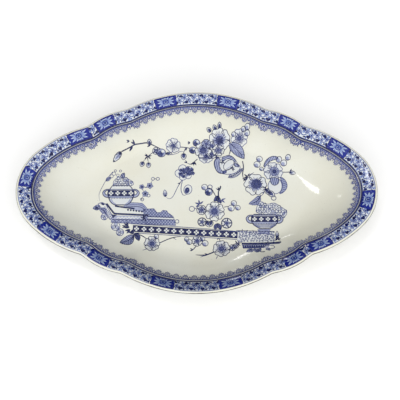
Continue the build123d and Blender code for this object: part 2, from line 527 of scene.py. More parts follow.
def lay(name, sheet, surface, material):
    """Makes a sheet into closed thin shapes that lie on the dish and shade as its surface does."""
    tree, corners, polygons, corner_normals = surface
    above, normals = [], []
    down = Vector((0, 0, -1))
    for x, y in np.vstack(sheet["points"]) * MM:
        hit, _, face, _ = tree.ray_cast(Vector((x, y, CAST_FROM)), down)
        weights = poly_3d_calc([corners[i] for i in polygons[face]], hit)
        normal = sum((corner_normals[i] * w for i, w in zip(polygons[face], weights)), Vector())
        above.append(hit / MM)
        normals.append(normal.normalized())
    above, normals = np.array(above), np.array(normals)
    top = above + normals * np.concatenate(sheet["lifts"])[:, None]
    bottom = above - normals * SUNK
    n = len(top)
    faces = []
    edges = {}
    for face in sheet["faces"]:
        a, b, c = top[face[0]], top[face[1]], top[face[2]]
        if np.cross(b[:2] - a[:2], c[:2] - a[:2]) < 0:
            face = face[::-1]
        faces += [face, tuple(i + n for i in face[::-1])]
        for i, j in zip(face, face[1:] + face[:1]):
            edges[(i, j)] = True
    faces += [(j, i, i + n, j + n) for i, j in edges if (j, i) not in edges]
    points, normals = np.vstack([top, bottom]), np.vstack([normals, normals])
    return new_piece(name, points, faces, material, normals)


# ---- Motifs of the border -----------------------------------------------------------
PRINT_START = 1.65  # inset of the border's outer edge
PRINT_END = 10.15
PRINT_MIDDLE = (PRINT_START + PRINT_END) / 2
HALF_BAND = (PRINT_END - PRINT_START) / 2
ROSETTE_LENGTH = 20.4
BERRY_PITCH = 5.0
PANEL_GAP = 0.4  # left bare at each end of a floral panel
SIDE_PITCH = 58.0  # between the four rosettes of a long side's transfer, along the edge
TIP_PITCH = 65.0  # between the three rosettes of a tip's transfer
TIP_SLIP = 12.0  # how far the tips' transfers are laid short of their tips
LACE_START = 11.4
LACE_REPEATS = 89
LACE_DEEPENING = 0.22  # how much deeper the lace is along the -Y side
rng = random.Random(7)


def rim_pen(group, along, inset):
    """A pen whose x runs along the edge and whose y runs inward."""
    return Pen(group, lambda p: on_rim(along + p[:, 0], inset + p[:, 1]))


def petal_outline(length, width, point=0.0, count=7):
    """A petal along +X from the origin; point is how sharply its end is drawn out."""
    along = np.linspace(0, 1, count)
    half = width / 2 * np.sin(np.pi * along**0.8) ** (0.7 + point)
    upper = np.c_[length * along, half]
    return np.vstack([upper, upper[-2:0:-1] * [1, -1]])


def rosette(pen):
    """A cobalt panel with a long daisy in it."""
    half = ROSETTE_LENGTH / 2
    pen.area("wash", panel(-half, -HALF_BAND, half, HALF_BAND))
    pen.loop("dark", panel(-half + 0.2, -HALF_BAND + 0.2, half - 0.2, HALF_BAND - 0.2), 0.36)
    flower = pen.on(1)
    fans = ((0, 2.2, 5.6), (20, 2.4, 5.7), (-20, 2.4, 5.7), (46, 2.0, 2.6), (-46, 2.0, 2.6))
    for side in (0, 180):
        for turn, start, length in fans:
            petal = flower.at(0, 0, side + turn)
            petal.area("paper", petal_outline(length, 1.3, 0.3) + [start, 0])
            petal.stroke("mid", [(start, 0), (start + length * 0.7, 0)], 0.36, 1, 0.3)
    for turn in (70, 90, 110, 250, 270, 290):
        flower.at(0, 0, turn).area("paper", petal_outline(1.7, 0.8, 0.2) + [1.7, 0])
    middle = pen.on(2)
    middle.dot("mid", 0, 0, 1.9, 12)
    for i in range(8):
        middle.at(0, 0, 45 * i).area("paper", petal_outline(0.8, 0.45, 0, 4) + [0.95, 0])
    middle.ring("dark", 0, 0, 1.95, 0.34)
    middle.ring("dark", 0, 0, 0.7, 0.44, 10)


def small_flower(pen, radius):
    """A pale flower of five petals with a dark middle."""
    for i in range(5):
        petal = pen.at(0, 0, 72 * i + rng.uniform(-8, 8))
        petal.filled("paper", "mid", petal_outline(radius, radius * 0.9, 0.0, 5), 0.28)
    pen.on(pen.level + 1).dot("dark", 0, 0, radius * 0.24, 7)


# What fills each cell of a floral panel: x, y, turn and size. The ovals' x is a share of the cell.
SPRAYS = ((-1.4, 2.2, 25, 2.6), (1.7, 1.2, -60, 2.2), (0.6, -2.6, 160, 2.5), (-2.0, -1.2, 240, 2.2))
OVALS = ((-0.34, -2.5, 35, 1.0), (0.2, -2.9, -35, 0.6), (0.42, 2.4, 50, 0.9))


def floral_panel(pen, length):
    """Scrolls, small flowers and tilted berries between two rosettes, from 0 to length."""
    pen.area("paper", panel(PANEL_GAP, -HALF_BAND, length - PANEL_GAP, HALF_BAND))
    for y in (-HALF_BAND + 0.1, HALF_BAND - 0.1):
        pen.at(0, y, level=1).stroke("mid", [(PANEL_GAP, 0), (length - PANEL_GAP, 0)], 0.3)
    count = max(int(round(length / BERRY_PITCH)), 1)
    pitch = length / count
    for i in range(count):
        lean = 1 if i % 2 else -1
        cell = pen.at(pitch * (i + 0.5), 0, level=1)
        vine = np.array([(-pitch / 2, 2.2), (-pitch / 5, 0.8), (pitch / 6, -1.6), (pitch / 2, -2.2)])
        cell.stroke("mid", vine * [1, lean], 0.4)
        for x, y, turn, size in SPRAYS:
            spray = cell.at(x, y * lean, turn * lean + rng.uniform(-25, 25))
            spray.area("wash", petal_outline(size, 1.3))
            spray.at(0.2, 0, 60 * lean).area("mid", petal_outline(size * 0.7, 0.7))
        small_flower(cell.at(rng.uniform(-0.5, 0.5), 0.9 * lean, rng.uniform(0, 90), level=3), 1.75)
        for x, y, turn, size in OVALS:
            oval = cell.at(pitch * x, y * lean, turn * lean + rng.uniform(-20, 20), level=5)
            oval.dot("dark", 0, 0, 1.55 * size * rng.uniform(0.9, 1.1), 10, 0.62)


def rosette_places():
    """Where rosettes lie along the edge: one transfer round each tip and one along each side."""
    places = []
    for quarter in range(4):
        at_tip = quarter % 2 == 0
        count, pitch, slip = (3, TIP_PITCH, TIP_SLIP) if at_tip else (4, SIDE_PITCH, 0)
        middle = quarter * AROUND / 4 - slip
        places += [(middle + pitch * (i - (count - 1) / 2)) % AROUND for i in range(count)]
    return sorted(places)


def draw_border():
    """The rosettes, and the floral panels that fill the way from one to the next."""
    places = rosette_places()
    for here, following in zip(places, places[1:] + [places[0] + AROUND]):
        rosette(rim_pen("panel", here, PRINT_MIDDLE))
        start, end = here + ROSETTE_LENGTH / 2, following - ROSETTE_LENGTH / 2
        floral_panel(rim_pen("border", start, PRINT_MIDDLE), end - start)


LINE_COLUMNS = 960


def rim_line(group, ink, inset, width):
    """A line all the way round, at an inset from the edge."""
    stations = np.arange(LINE_COLUMNS) * AROUND / LINE_COLUMNS
    Pen(group).loop(ink, on_rim(stations, inset), width)


def lace_repeat(pen, pitch):
    """A scallop of lace: a chain of rings, a fan of small rings and dots and an arch beside it."""
    links = 4
    for i in range(links):
        x = pitch * ((i + 0.5) / links - 0.5)
        pen.ring("mid", x, 0.8, 0.66, 0.4, 9)
        pen.dot("dark", x, 0.8, 0.28, 6)
        pen.dot("dark", x + pitch / links / 2, 0.5, 0.42, 6)
    fan = pen.at(0, 1.7)
    fan.dot("dark", 0, 0.35, 0.55, 7)
    for turn in np.radians(np.linspace(14, 166, 5)):
        fan.dot("mid", 1.35 * np.cos(turn), 1.3 * np.sin(turn), 0.4, 6)
    for turn in np.radians(np.linspace(4, 176, 7)):
        fan.ring("mid", 2.5 * np.cos(turn), 2.3 * np.sin(turn), 0.42, 0.3, 7)
    for turn in np.radians(np.linspace(16, 164, 6)):
        fan.dot("dark", 3.3 * np.cos(turn), 3.1 * np.sin(turn), 0.32, 6)
    arch = pen.at(pitch / 2, 1.7)
    arch.stroke("mid", [(-1.1, 0), (-0.8, 0.8), (0, 1.1), (0.8, 0.8), (1.1, 0)], 0.3)
    arch.dot("dark", 0, 0.45, 0.4, 6)
    arch.dot("mid", 0, 1.7, 0.36, 6)


def draw_lace():
    """Three lines round the dish at the shoulder, and the repeats of the lace frieze."""
    pitch = AROUND / LACE_REPEATS
    rim_line("lace", "dark", PRINT_END + 0.2, 0.55)
    rim_line("lace", "wash", LACE_START + 0.95, 0.7)
    rim_line("lace", "dark", LACE_START + 0.42, 0.34)
    for i in range(LACE_REPEATS):
        along = (i + 0.5) * pitch
        deep = 1 + LACE_DEEPENING * max(0, -on_rim(along, 0)[1] / HALF_WIDTH)
        lace_repeat(rim_pen("lace", along, LACE_START).at(0, 0, stretch=deep), pitch)


# ---- Motifs of the scene ------------------------------------------------------------
def wavy(radius, lobes, depth, count, turn=0.0):
    """A lobed round outline. Its unused random draws keep the later ones as they are."""
    turns = np.linspace(0, TAU, count + 1)[:-1]
    lobed = np.abs(np.cos(lobes / 2 * turns + turn)) ** 0.6
    for _ in turns:
        rng.random()
    reach = radius * (1 - depth + depth * lobed)
    return np.c_[reach * np.cos(turns), reach * np.sin(turns)]


def twig(pen, points, width, ink="dark"):
    """A stem that thins out toward its end."""
    pen.stroke(ink, points, width, 1.0, 0.35)


# A petal along +X that is notched at its end, as shares of its length and its width.
NOTCHED_PETAL = np.array([
    (0.12, -0.08), (0.55, -0.52), (0.98, -0.36), (0.88, 0), (1.03, 0.3), (0.6, 0.52), (0.12, 0.08),
])


def blossom(pen, radius, centre, petals=5, ink="dark", rays=4, fill="paper"):
    """An open flower: notched petals, shaded at their roots, round a dark ragged centre."""
    for i in range(petals):
        petal = pen.at(0, 0, 360 * i / petals + 10)
        wide = radius * 5.6 / petals * rng.uniform(0.92, 1.05)
        outline = evened(NOTCHED_PETAL * [radius, wide], closed=True, step=radius * 0.16)
        petal.filled(fill, ink, outline)
        for j in range(rays):
            ray = petal.at(0, 0, (j - (rays - 1) / 2) * 44 / max(rays, 1))
            ray.stroke("mid", [(radius * centre, 0), (radius * rng.uniform(0.55, 0.82), 0)], 0.3, 1, 0.2)
    heart = pen.on(pen.level + 1)
    heart.area("wash", wavy(radius * centre * 1.12, 7, 0.25, 27, 1.0))
    heart.area("mid", wavy(radius * centre * 0.8, 9, 0.3, 27))
    count = max(int(radius * 2.0), 6)
    for i in range(count):
        spoke = heart.at(0, 0, 360 * i / count + rng.uniform(-6, 6))
        far = radius * centre * rng.uniform(0.85, 1.3)
        spoke.stroke("dark" if i % 2 else "mid", [(radius * centre * 0.3, 0), (far, 0)], 0.28)
        spoke.dot("dark", far, 0, 0.38, 6)


def bud(pen, length, width, ink="dark", core="wash"):
    """A closed bud along +X: a pale skin round a shaded ball, dark where it meets the stem."""
    pen.filled("paper", ink, petal_outline(length, width, 0.0, 9))
    pen.area(core, petal_outline(length * 0.74, width * 0.68, 0.0, 7) + [length * 0.04, 0])
    pen.area("dark", petal_outline(length * 0.3, width * 0.6, 0.0, 5))
    for turn in (20, -20, 0):
        pen.at(0, 0, turn).stroke("dark", [(length * 0.2, 0), (length * 0.62, 0)], 0.26, 1, 0.3)


def berry(pen, x, y, radius):
    """A round berry, pale on one side and shaded on the other."""
    here = pen.at(x, y)
    here.area("paper", circle(0, 0, radius, 12))
    here.at(-radius * 0.26, -radius * 0.26).dot("wash", 0, 0, radius * 0.62, 10)
    here.ring("dark", 0, 0, radius, 0.32, 12)
    here.stroke("mid", radius * np.array([(-0.8, 0.1), (-0.5, -0.6), (0.3, -0.8)]), 0.4)


def berries(pen, places):
    """Berries that are each given by x, y and radius."""
    for x, y, radius in places:
        berry(pen, x, y, radius)


def ball(pen, x, y, radius):
    """A closed round flower: shaded on one side, light on the other, dark in its folds."""
    here = pen.at(x, y)
    here.area("wash", circle(0, 0, radius, 14))
    here.at(-radius * 0.2, -radius * 0.2).area("mid", circle(0, 0, radius * 0.74, 12))
    here.at(radius * 0.34, radius * 0.4, level=pen.level + 1).area("paper", circle(0, 0, radius * 0.36, 9))
    here.ring("dark", 0, 0, radius, 0.34, 14)
    for turn in (190, 235, 280):
        here.at(0, 0, turn).stroke("dark", [(-radius * 0.2, 0), (radius * 0.9, 0)], 0.34)


def leaf(pen, length, width, bend, fill, ink="dark"):
    """A pointed leaf along +X that bends aside, with a midrib and hatched veins."""
    along = np.linspace(0, 1, 11)
    middle = np.c_[length * along, bend * np.sin(np.pi * along)]
    half = width / 2 * np.sin(np.pi * along**0.85) ** 0.8
    aside = np.c_[0 * half, half]
    pen.filled(fill, ink, np.vstack([middle + aside, (middle - aside)[-2:0:-1]]))
    pen.stroke("dark", middle, 0.36, 1, 0.4)
    for x in np.arange(length * 0.08, length * 0.8, 1.6):
        k = x / length
        reach = width / 2 * np.sin(np.pi * (k + 0.1) ** 0.85) ** 0.8 * 0.9
        root = (x, bend * np.sin(np.pi * k))
        for side in (1, -1):
            pen.stroke("mid", [root, (x + length * 0.14, root[1] + side * reach)], 0.4)


def leaflets(pen, size, turns, ink="dark"):
    """A spray of small solid leaves from one point."""
    for turn in turns:
        pen.at(0, 0, turn).area(ink, petal_outline(size, size * 0.34, 0.2, 6))


def crosses(pen, length, count, width, arm):
    """A row of pale four-petalled crosses on a dark band along +X."""
    pen.area("dark", panel(0, -width / 2, length, width / 2))
    for i in range(count):
        here = pen.at(length * (i + 0.5) / count, 0, level=pen.level + 1)
        for turn in (0, 90, 180, 270):
            reach = arm if turn % 180 == 0 else min(arm, width * 0.42)
            petal = petal_outline(reach * 0.86, arm * 0.74, -0.1, 6) * [-1, 1] + [reach, 0]
            here.at(0, 0, turn).area("paper", petal)
        here.dot("dark", 0, 0, arm * 0.15, 6)


SHORTEST_HATCH = 0.5


def hatch(pen, outline, pitch, lean, width=0.36):
    """Parallel lines that fill an outline."""
    lean = np.radians(lean)
    along = np.array([np.cos(lean), np.sin(lean)])
    across = np.array([-np.sin(lean), np.cos(lean)])
    u, v = outline @ along, outline @ across
    next_u, next_v = np.roll(u, -1), np.roll(v, -1)
    for level in np.arange(v.min() + pitch / 2, v.max(), pitch):
        cut = (v > level) != (next_v > level)
        ends = np.sort(u[cut] + (level - v[cut]) * (next_u - u)[cut] / (next_v - v)[cut])
        for start, end in zip(ends[::2], ends[1::2]):
            if end - start > SHORTEST_HATCH:
                row = level * across
                pen.stroke("mid", [start * along + row, end * along + row], width)


def shaded_petal(pen, outline, lean, ink="dark", width=0.36):
    """A petal in shadow, hatched over a wash."""
    pen.area("wash", outline)
    hatch(pen, outline, 1.7, lean)
    pen.loop(ink, outline, width)


def urn(pen, rim, band, base, arm):
    """A bowl with ring handles and a dark band of crosses.

    The rim and base are a half width and a height each, the band is a half width and two heights.
    """
    half, top, bottom = band
    middle = (top + bottom) / 2
    side = evened([rim, (half * 0.92, top), (half * 1.02, middle), (half * 0.95, bottom - 0.8),
                   (base[0] * 1.62, base[1] + 2.2), base])
    handle = np.array([(-2.6, 2.1), (1.6, 2.5), (4.6, 0), (4.1, -3.1), (1.6, -5.2), (-2.4, -5.2)])
    for way in (1, -1):
        for grow, ink, weight in ((0.8, "wash", 1.1), (1.0, "dark", 0.42), (0.58, "dark", 0.42)):
            pen.stroke(ink, (handle * grow + [half, middle + 1.3]) * [way, 1], weight)
    pen.filled("paper", "dark", np.vstack([side, side[::-1] * [-1, 1]]), 0.44)
    shade = [(0.93, bottom), (0.88, bottom - 1.5), (-0.88, bottom - 1.5), (-0.93, bottom)]
    pen.area("wash", polygon([(half * x, y) for x, y in shade]))
    for x in np.arange(-half * 0.84, half * 0.85, 1.4):
        pen.stroke("dark", [(x, bottom - 1.2), (x * 0.98, bottom - 2.2)], 0.42)
        if abs(x) < rim[0]:
            pen.stroke("mid", [(x, rim[1] - 0.3), (x, rim[1] - 1.2)], 0.34)
    for way in (1, -1):
        for k, weight in ((0.93, 0.8), (0.78, 0.6)):
            wide = np.array([half * 0.9, base[0] * 1.66, base[0]]) * k * way
            pen.stroke("wash", np.c_[wide, [bottom - 2.6, base[1] + 2.4, base[1] + 0.6]], weight)
    cover = pen.on(pen.level + 1)
    crosses(cover.at(-half, middle), half * 2, 4, top - bottom, arm)
    cover.stroke("mid", [(-half * 0.92, top + 0.7), (half * 0.92, top + 0.7)], 0.4)
    cover.stroke("dark", [(-rim[0], rim[1]), (rim[0], rim[1])], 0.36)
    cover.stroke("dark", [(-base[0], base[1]), (base[0], base[1])], 0.5)


def fruit_heap(pen, outline, spacing, radius, leafy):
    """A heap of small round fruit inside an outline; leafy is the share that have a leaf."""
    outline = evened(outline, closed=True)
    pen.filled("paper", "mid", outline, 0.3)
    low, high = outline.min(0), outline.max(0)
    for row, y in enumerate(np.arange(low[1], high[1], spacing * 0.82)):
        for x in np.arange(low[0] + spacing / 2 * (row % 2), high[0], spacing):
            here = (x + rng.uniform(-0.4, 0.4), y + rng.uniform(-0.4, 0.4))
            size, kind, turn = radius * rng.uniform(0.75, 1.2), rng.random(), rng.uniform(0, 360)
            if inside(outline, *here, 0.5):
                if turn < 110:
                    pen.dot("wash", here[0] + 0.15, here[1] - 0.15, size * 0.8, 7)
                pen.ring("mid" if kind < 0.8 else "dark", *here, size, 0.3, 9)
                if kind < leafy:
                    pen.at(*here, turn).area("mid", petal_outline(radius * 2, 0.7, 0.1, 5))


def scroll_fill(pen, low, high, pitch):
    """A panel of small curls, dots and leaves."""
    (x0, y0), (x1, y1) = low, high
    for row, y in enumerate(np.arange(y0 + pitch / 2, y1, pitch * 0.82)):
        for x in np.arange(x0 + pitch / 2 + pitch / 2 * (row % 2), x1, pitch):
            curl = pen.at(x + rng.uniform(-0.3, 0.3), y + rng.uniform(-0.3, 0.3), rng.uniform(0, 360))
            curl.stroke("mid", [(-1.1, -0.5), (0.1, -1.0), (1.0, 0), (0.2, 0.9), (-0.5, 0.3)], 0.34, 1, 0.4)
            curl.dot("dark" if rng.random() < 0.35 else "mid", 0.1, 0, 0.34, 6)
            if rng.random() < 0.5:
                curl.at(1.0, 0.4, rng.uniform(20, 80)).area("mid", petal_outline(1.3, 0.6, 0, 5))


# ---- The scene in the middle --------------------------------------------------------
# Places are in millimetres. They were read off the photo by eye, and some were worked out from
# there by a helper script and rounded, so they follow the photo's layout.
def draw_left_branch(pen):
    """A long branch with buds at the top left, and the hanging sprays below it."""
    branch = [(-66.5, 42), (-59, 46), (-55, 48.5), (-51, 49), (-44, 50.5), (-40, 49), (-32.5, 46), (-29, 43)]
    twig(pen, branch, 0.6)
    bud(pen.at(-66.8, 41.8, 231, level=1), 11.5, 4.2)
    pen.at(-72.8, 34.4, 231, level=2).area("dark", petal_outline(2.2, 1.4))
    leaflets(pen.at(-55, 48.5), 4.0, (118, 158))
    leaflets(pen.at(-59.5, 50.4), 3.0, (170, 205))
    leaflets(pen.at(-57, 47), 5.4, (237,))
    bud(pen.at(-42, 48.6, 95, level=1), 4.6, 3.8, core="mid")
    leaflets(pen.at(-41, 49), 4.0, (212,))
    twig(pen, [(-38, 43), (-42, 40), (-44, 38), (-47.5, 33.5)], 0.4)
    twig(pen, [(-44, 38), (-43, 33)], 0.4)
    leaflets(pen.at(-43.5, 38.3), 3.6, (128, 152, 215, 320, 20))
    bud(pen.at(-47.6, 33.4, 250, level=1), 5.0, 4.0, core="mid")
    bud(pen.at(-42.8, 32.6, 272, level=1), 5.0, 4.0, core="wash")
    blossom(pen.at(-36.2, 43.6, 20, level=1), 3.4, 0.3)
    ball(pen.on(2), -31.6, 41.8, 3.9)
    bud(pen.at(-27.5, 41.2, 0, level=1), 5.5, 2.7, core="mid")
    twig(pen, [(-22.5, 40), (-17, 41.5), (-15, 43.5), (-11.5, 43)], 0.34, "mid")
    blossom(pen.at(-21, 48.5, 0, level=1), 6.6, 0.22, ink="mid", rays=2)
    stamens = pen.at(-21, 48.5, level=3)
    for turn in np.radians(range(0, 360, 36)):
        c, s = np.cos(turn), np.sin(turn)
        stamens.dot("dark", 3.2 * c, 3.2 * s, 0.4)
        stamens.stroke("mid", [(1.2 * c, 1.2 * s), (2.9 * c, 2.9 * s)], 0.28)
    leaflets(pen.at(-6, 51.4), 2.6, (150, 185, 215))
    twig(pen, [(-15, 47.5), (-8.5, 47), (-3, 45)], 0.45)
    twig(pen, [(-8.5, 47), (-12, 43), (-11.6, 40)], 0.36)
    leaflets(pen.at(-9, 46.6), 2.8, (215, 250, 165))
    bud(pen.at(-11.6, 41.4, 268, level=1), 6.2, 4.6, core="mid")


def draw_drooping_blossom(pen):
    """The large pale blossom left of the middle, with its curling stems."""
    twig(pen, [(0.5, 36), (-2, 33.5), (-5, 31), (-7, 31.2), (-9, 32.5)], 0.5)
    leaflets(pen.at(-2.4, 33.4), 4.0, (230, 262, 300))
    leaflets(pen.at(-8.6, 32.2), 3.2, (120, 158))
    stem = [(-12, 17.5), (-15, 13), (-17, 9), (-19, 4.5), (-20.5, 1), (-22.5, -1), (-25, -1.4), (-27.2, 0.6)]
    twig(pen, stem, 0.36, "mid")
    bud(pen.at(-27.4, 0.6, 96, level=1), 6.4, 3.2, ink="mid")
    leaflets(pen.at(-14.6, 13.6), 2.6, (205, 240))
    twig(pen, [(-12.6, 16), (-14, 9), (-13.5, 4.5), (-11.6, 1.6), (-9.4, 2.2), (-8.6, 4)], 0.4, "mid")
    oval = pen.at(-7.8, 7.2, 78, level=1)
    oval.filled("paper", "mid", circle(0, 0, 4.4, 16, 0.8), 0.34)
    oval.area("mid", circle(-0.9, 0.5, 2.9, 14, 0.74))
    oval.on(2).loop("dark", circle(-0.3, 0.2, 1.5, 10, 0.7), 0.36)
    bloom = pen.at(-10.8, 22.6, 18, level=1)
    for turn, reach in ((95, 8.4), (165, 8.6), (20, 8.4), (230, 7.2), (305, 7.0)):
        petal = bloom.at(0, 0, turn)
        lobe = reach * np.array([(0.6, -0.48), (1, -0.22), (0.94, 0.24), (0.55, 0.5)])
        petal.filled("paper", "mid", evened([(0.6, -1.2), *lobe, (0.6, 1.2)], closed=True), 0.34)
        petal.at(reach * 0.45, 0).area("wash", wavy(reach * 0.22, 5, 0.3, 15))
    ragged = pen.at(-9.6, 23.2, level=3)
    patches = (
        (-4.6, -1.6, 2.0), (-1.8, -3.8, 1.7), (-1.4, 1.4, 2.8), (2.4, -0.6, 2.8),
        (4.6, 2.4, 2.4), (1.4, 3.4, 2.2), (-4.4, 2.2, 1.6), (6.0, -0.8, 1.9),
    )
    for i, (x, y, r) in enumerate(patches):
        ragged.at(x, y, 52 * i).area("mid", wavy(r, 5, 0.35, 17))
        ragged.at(x, y, 52 * i).stroke("dark", [(-r, 0), (0, r * 0.5), (r, 0)], 0.44)
        ragged.dot("dark", x, y, 0.55, 7)


def draw_sprig(pen):
    """The small sprig of rings and leaves beside the left urn."""
    twig(pen, [(-48, 9.7), (-44, 9.2), (-41.5, 11), (-39.6, 14.6), (-38.6, 17)], 0.3, "mid")
    twig(pen, [(-48, 9), (-46.4, 5), (-47, 1), (-47.6, -1)], 0.3, "mid")
    twig(pen, [(-37.2, 17.2), (-35.7, 17.2)], 0.45)
    for x, y, r in ((-38.6, 17.2, 1.4), (-34.3, 17.2, 1.4), (-47.6, -1.9, 1.4), (-42, 1.6, 1.3)):
        pen.at(x, y, level=1).ring("mid", 0, 0, r, 0.34)
    for x, y, r in ((-48.2, 9.7, 2.4), (-41.2, 10.8, 3.0), (-45, 3.2, 3.0)):
        flower = pen.at(x, y, 30 * x, level=1)
        for i in range(5):
            petal = petal_outline(r, r * 0.85, 0.0, 5)
            flower.at(0, 0, 72 * i).filled("wash", "mid", petal, 0.26)
        flower.on(2).dot("dark", 0.2, 0, r * 0.3, 7)
    leaflets(pen.at(-47.4, -1.6, level=2), 1.6, (150, 210))
    leaflets(pen.at(-43.6, 9.4), 1.8, (60, 200))


def draw_middle_cluster(pen):
    """The dense cluster at the top middle: blossoms, a hatched leaf and a half-open bloom."""
    twig(pen, [(-3, 45), (2, 44), (6, 46)], 0.6)
    twig(pen, [(28, 56), (30, 50), (30, 44), (28, 38)], 0.6)
    twig(pen, [(40.5, 34), (41.5, 28), (40, 21), (41.5, 16)], 0.55)
    ball(pen.on(1), -3.6, 44.4, 3.2)
    ball(pen.on(1), -0.4, 51.2, 3.1)
    blossom(pen.at(8, 38.5, 10, level=1), 6.6, 0.36, ink="mid")
    blossom(pen.at(5.6, 44.2, 40, level=2), 7.6, 0.55)
    blossom(pen.at(13.2, 40.6, 5, level=1), 4.6, 0.4)
    blossom(pen.at(8.4, 50.2, 12, level=3), 4.2, 0.5, rays=1, fill="wash")
    blossom(pen.at(13.6, 48.4, 32, level=2), 4.0, 0.5, rays=1)
    for x, y, turn in ((12.6, 60.4, 142), (20.2, 62.6, 92), (17.0, 61.4, 120)):
        bud(pen.at(x, y, turn, level=1), 4.6, 3.4, core="mid")
    blossom(pen.at(20.2, 53.4, 24, level=2), 9.8, 0.5)
    star = pen.at(20.8, 52.6, level=4)
    for i in range(8):
        star.at(0, 0, 45 * i + 10).area("dark", petal_outline(4.6 if i % 2 else 3.2, 1.1, 0.2, 5))
    blossom(pen.at(19, 44.2, 50, level=3), 5.6, 0.36)
    leaflets(pen.at(16.5, 37.2, level=3), 3.6, (10, 60, 320))
    blossom(pen.at(37.8, 54, 14, level=1), 7.4, 0.36, ink="mid")
    berries(pen.on(2), ((44.6, 61.8, 2.3), (44.6, 57.4, 2.2), (41.2, 60.6, 1.9), (32.6, 57.6, 1.8)))
    leaf(pen.at(29, 50.6, -48, level=3), 19.5, 9.4, 1.2, "wash")
    leaf(pen.at(27.6, 18.4, 33, level=3), 16.0, 4.6, -0.8, "paper", "mid")
    draw_half_open_bloom(pen)


def draw_half_open_bloom(pen):
    """A bloom that is still closing round a pale oval heart."""
    bloom = pen.on(4)
    body = [
        (17, 36.4), (22.4, 37.8), (28, 39.4), (33.6, 36.6), (36, 31.6),
        (39.4, 27.4), (33, 21.6), (24, 21.4), (17.4, 24), (15.2, 30),
    ]
    bloom.filled("paper", "mid", evened(body, closed=True), 0.34)
    left = [
        (17.2, 37), (21.6, 36), (19.6, 31), (21, 26),
        (24.8, 22.2), (18.8, 22.2), (15.4, 28.4), (15.2, 33.6),
    ]
    over = [
        (21.6, 36.4), (25, 38.8), (29.4, 39.6), (33.4, 36.8), (34.6, 32),
        (32, 34), (29.6, 36.2), (26.2, 36.2), (23.4, 33.6),
    ]
    under = [(33.4, 33), (36, 31), (38, 28), (35.2, 28.6), (33, 29)]
    for petal, lean in ((left, 80), (over, 25), (under, 120)):
        shaded_petal(bloom, evened(petal, closed=True), lean, width=0.34)
    fold = [(22.4, 24.6), (25.4, 25.6), (27, 23.4), (24.6, 21.8), (22.4, 22.2)]
    bloom.area("mid", evened(fold, closed=True))
    heart = bloom.at(28.2, 30.4, 47, level=5)
    heart.filled("paper", "dark", circle(0, 0, 5.8, 20, 0.6), 0.34)
    heart.stroke("wash", [(-4.2, -1), (-1, -2.3), (3, -2)], 0.4)
    leaflets(bloom.at(22.8, 33.2, level=6), 2.8, (50, 110, 200, 250, 320))
    leaflets(bloom.at(31.2, 26.4, level=6), 2.6, (300, 350, 40, 130))
    bloom.stroke("dark", [(25.4, 25), (28.6, 26), (32, 28.4)], 0.6)


def draw_right_bouquet(pen):
    """The flowers that rise from the right urn."""
    twig(pen, [(41.5, 16), (45, 20), (50.5, 23.5)], 0.36, "mid")
    twig(pen, [(56, 2), (53, -3.5), (53.4, -9)], 0.8, "mid")
    twig(pen, [(58, 12), (60, 6), (56, 1)], 0.5, "mid")
    twig(pen, [(75.5, 23.5), (81.5, 23.5), (86, 24.2)], 0.45)
    leaflets(pen.at(82, 23.6), 3.4, (60, 300, 0))
    bud(pen.at(81.6, 23.4, -12, level=1), 5.4, 3.4)
    berries(pen.on(1), (
        (55.5, 36, 2.7), (53.3, 30.8, 2.9), (72.6, 35, 2.5),
        (76.8, 31.8, 2.7), (80.4, 36, 2.2), (57, 26.6, 1.7),
    ))
    curl = [
        (58.6, 27.6), (60.4, 34), (65, 38), (70.4, 38),
        (72.8, 35.6), (68.6, 35.2), (64, 33.6), (61.4, 30),
    ]
    shaded_petal(pen.on(1), evened(curl, closed=True), 60)
    blossom(pen.at(67.4, 24.2, 26, level=2), 8.8, 0.3, petals=6, ink="mid", rays=2)
    rose = pen.at(68.4, 24.2, level=4)
    rose.area("wash", wavy(4.4, 5, 0.12, 25))
    for radius, ink in ((4.2, "mid"), (2.9, "mid"), (1.5, "dark")):
        rose.loop(ink, wavy(radius, 5, 0.2, 22, radius), 0.36)
    rose.area("mid", wavy(2.2, 5, 0.3, 15))
    white = [(63.6, 15), (62, 10), (64.6, 4.6), (69.6, 2.8), (74, 6), (75, 12), (72.6, 17.4), (68, 18.4)]
    pen.on(3).filled("paper", "mid", evened(white, closed=True), 0.34)
    crescent = [
        (73.8, 19.6), (78.4, 15.4), (79.6, 9.6), (76, 4.6),
        (71.4, 2.6), (74.4, 7), (75.4, 12), (73.6, 16.6),
    ]
    shaded_petal(pen.on(3), evened(crescent, closed=True), 20, "mid")
    cap = [(64.6, 18), (64.4, 13.6), (67.6, 10.6), (71.6, 12.4), (72.6, 16.6), (69, 18.8)]
    shaded_petal(pen.on(4), evened(cap, closed=True), 75, width=0.3)
    blossom(pen.at(51.4, 11.8, 8, level=2), 10.2, 0.52, petals=5, rays=2)
    heart = pen.at(52.4, 12.4, level=4)
    heart.area("mid", wavy(4.8, 8, 0.2, 30))
    for i in range(14):
        heart.at(0, 0, 26 * i).stroke("dark", [(1.4, 0), (rng.uniform(2.6, 5.2), 0)], 0.3)
        heart.at(0, 0, 26 * i + 9).dot("dark", rng.uniform(3, 5.4), 0, 0.42, 6)
    leaflets(pen.at(44.6, 19.2, level=2), 3.8, (140, 200, 250, 60))
    leaflets(pen.at(43, 17), 3.2, (175, 220))
    bud(pen.at(60.4, 7.8, 300, level=4), 6.4, 4.2, core="mid")
    bud(pen.at(62.6, 5.4, 318, level=4), 7.0, 5.0, core="mid")
    pen.at(67, -0.6, level=5).ring("mid", 0, 0, 2.1, 0.36)
    leaflets(pen.at(60, 7.4, level=5), 3.0, (200, 90, 20))
    leaf(pen.at(55.4, 1.4, 216, level=2), 12.6, 5.8, 2.2, "wash", "mid")


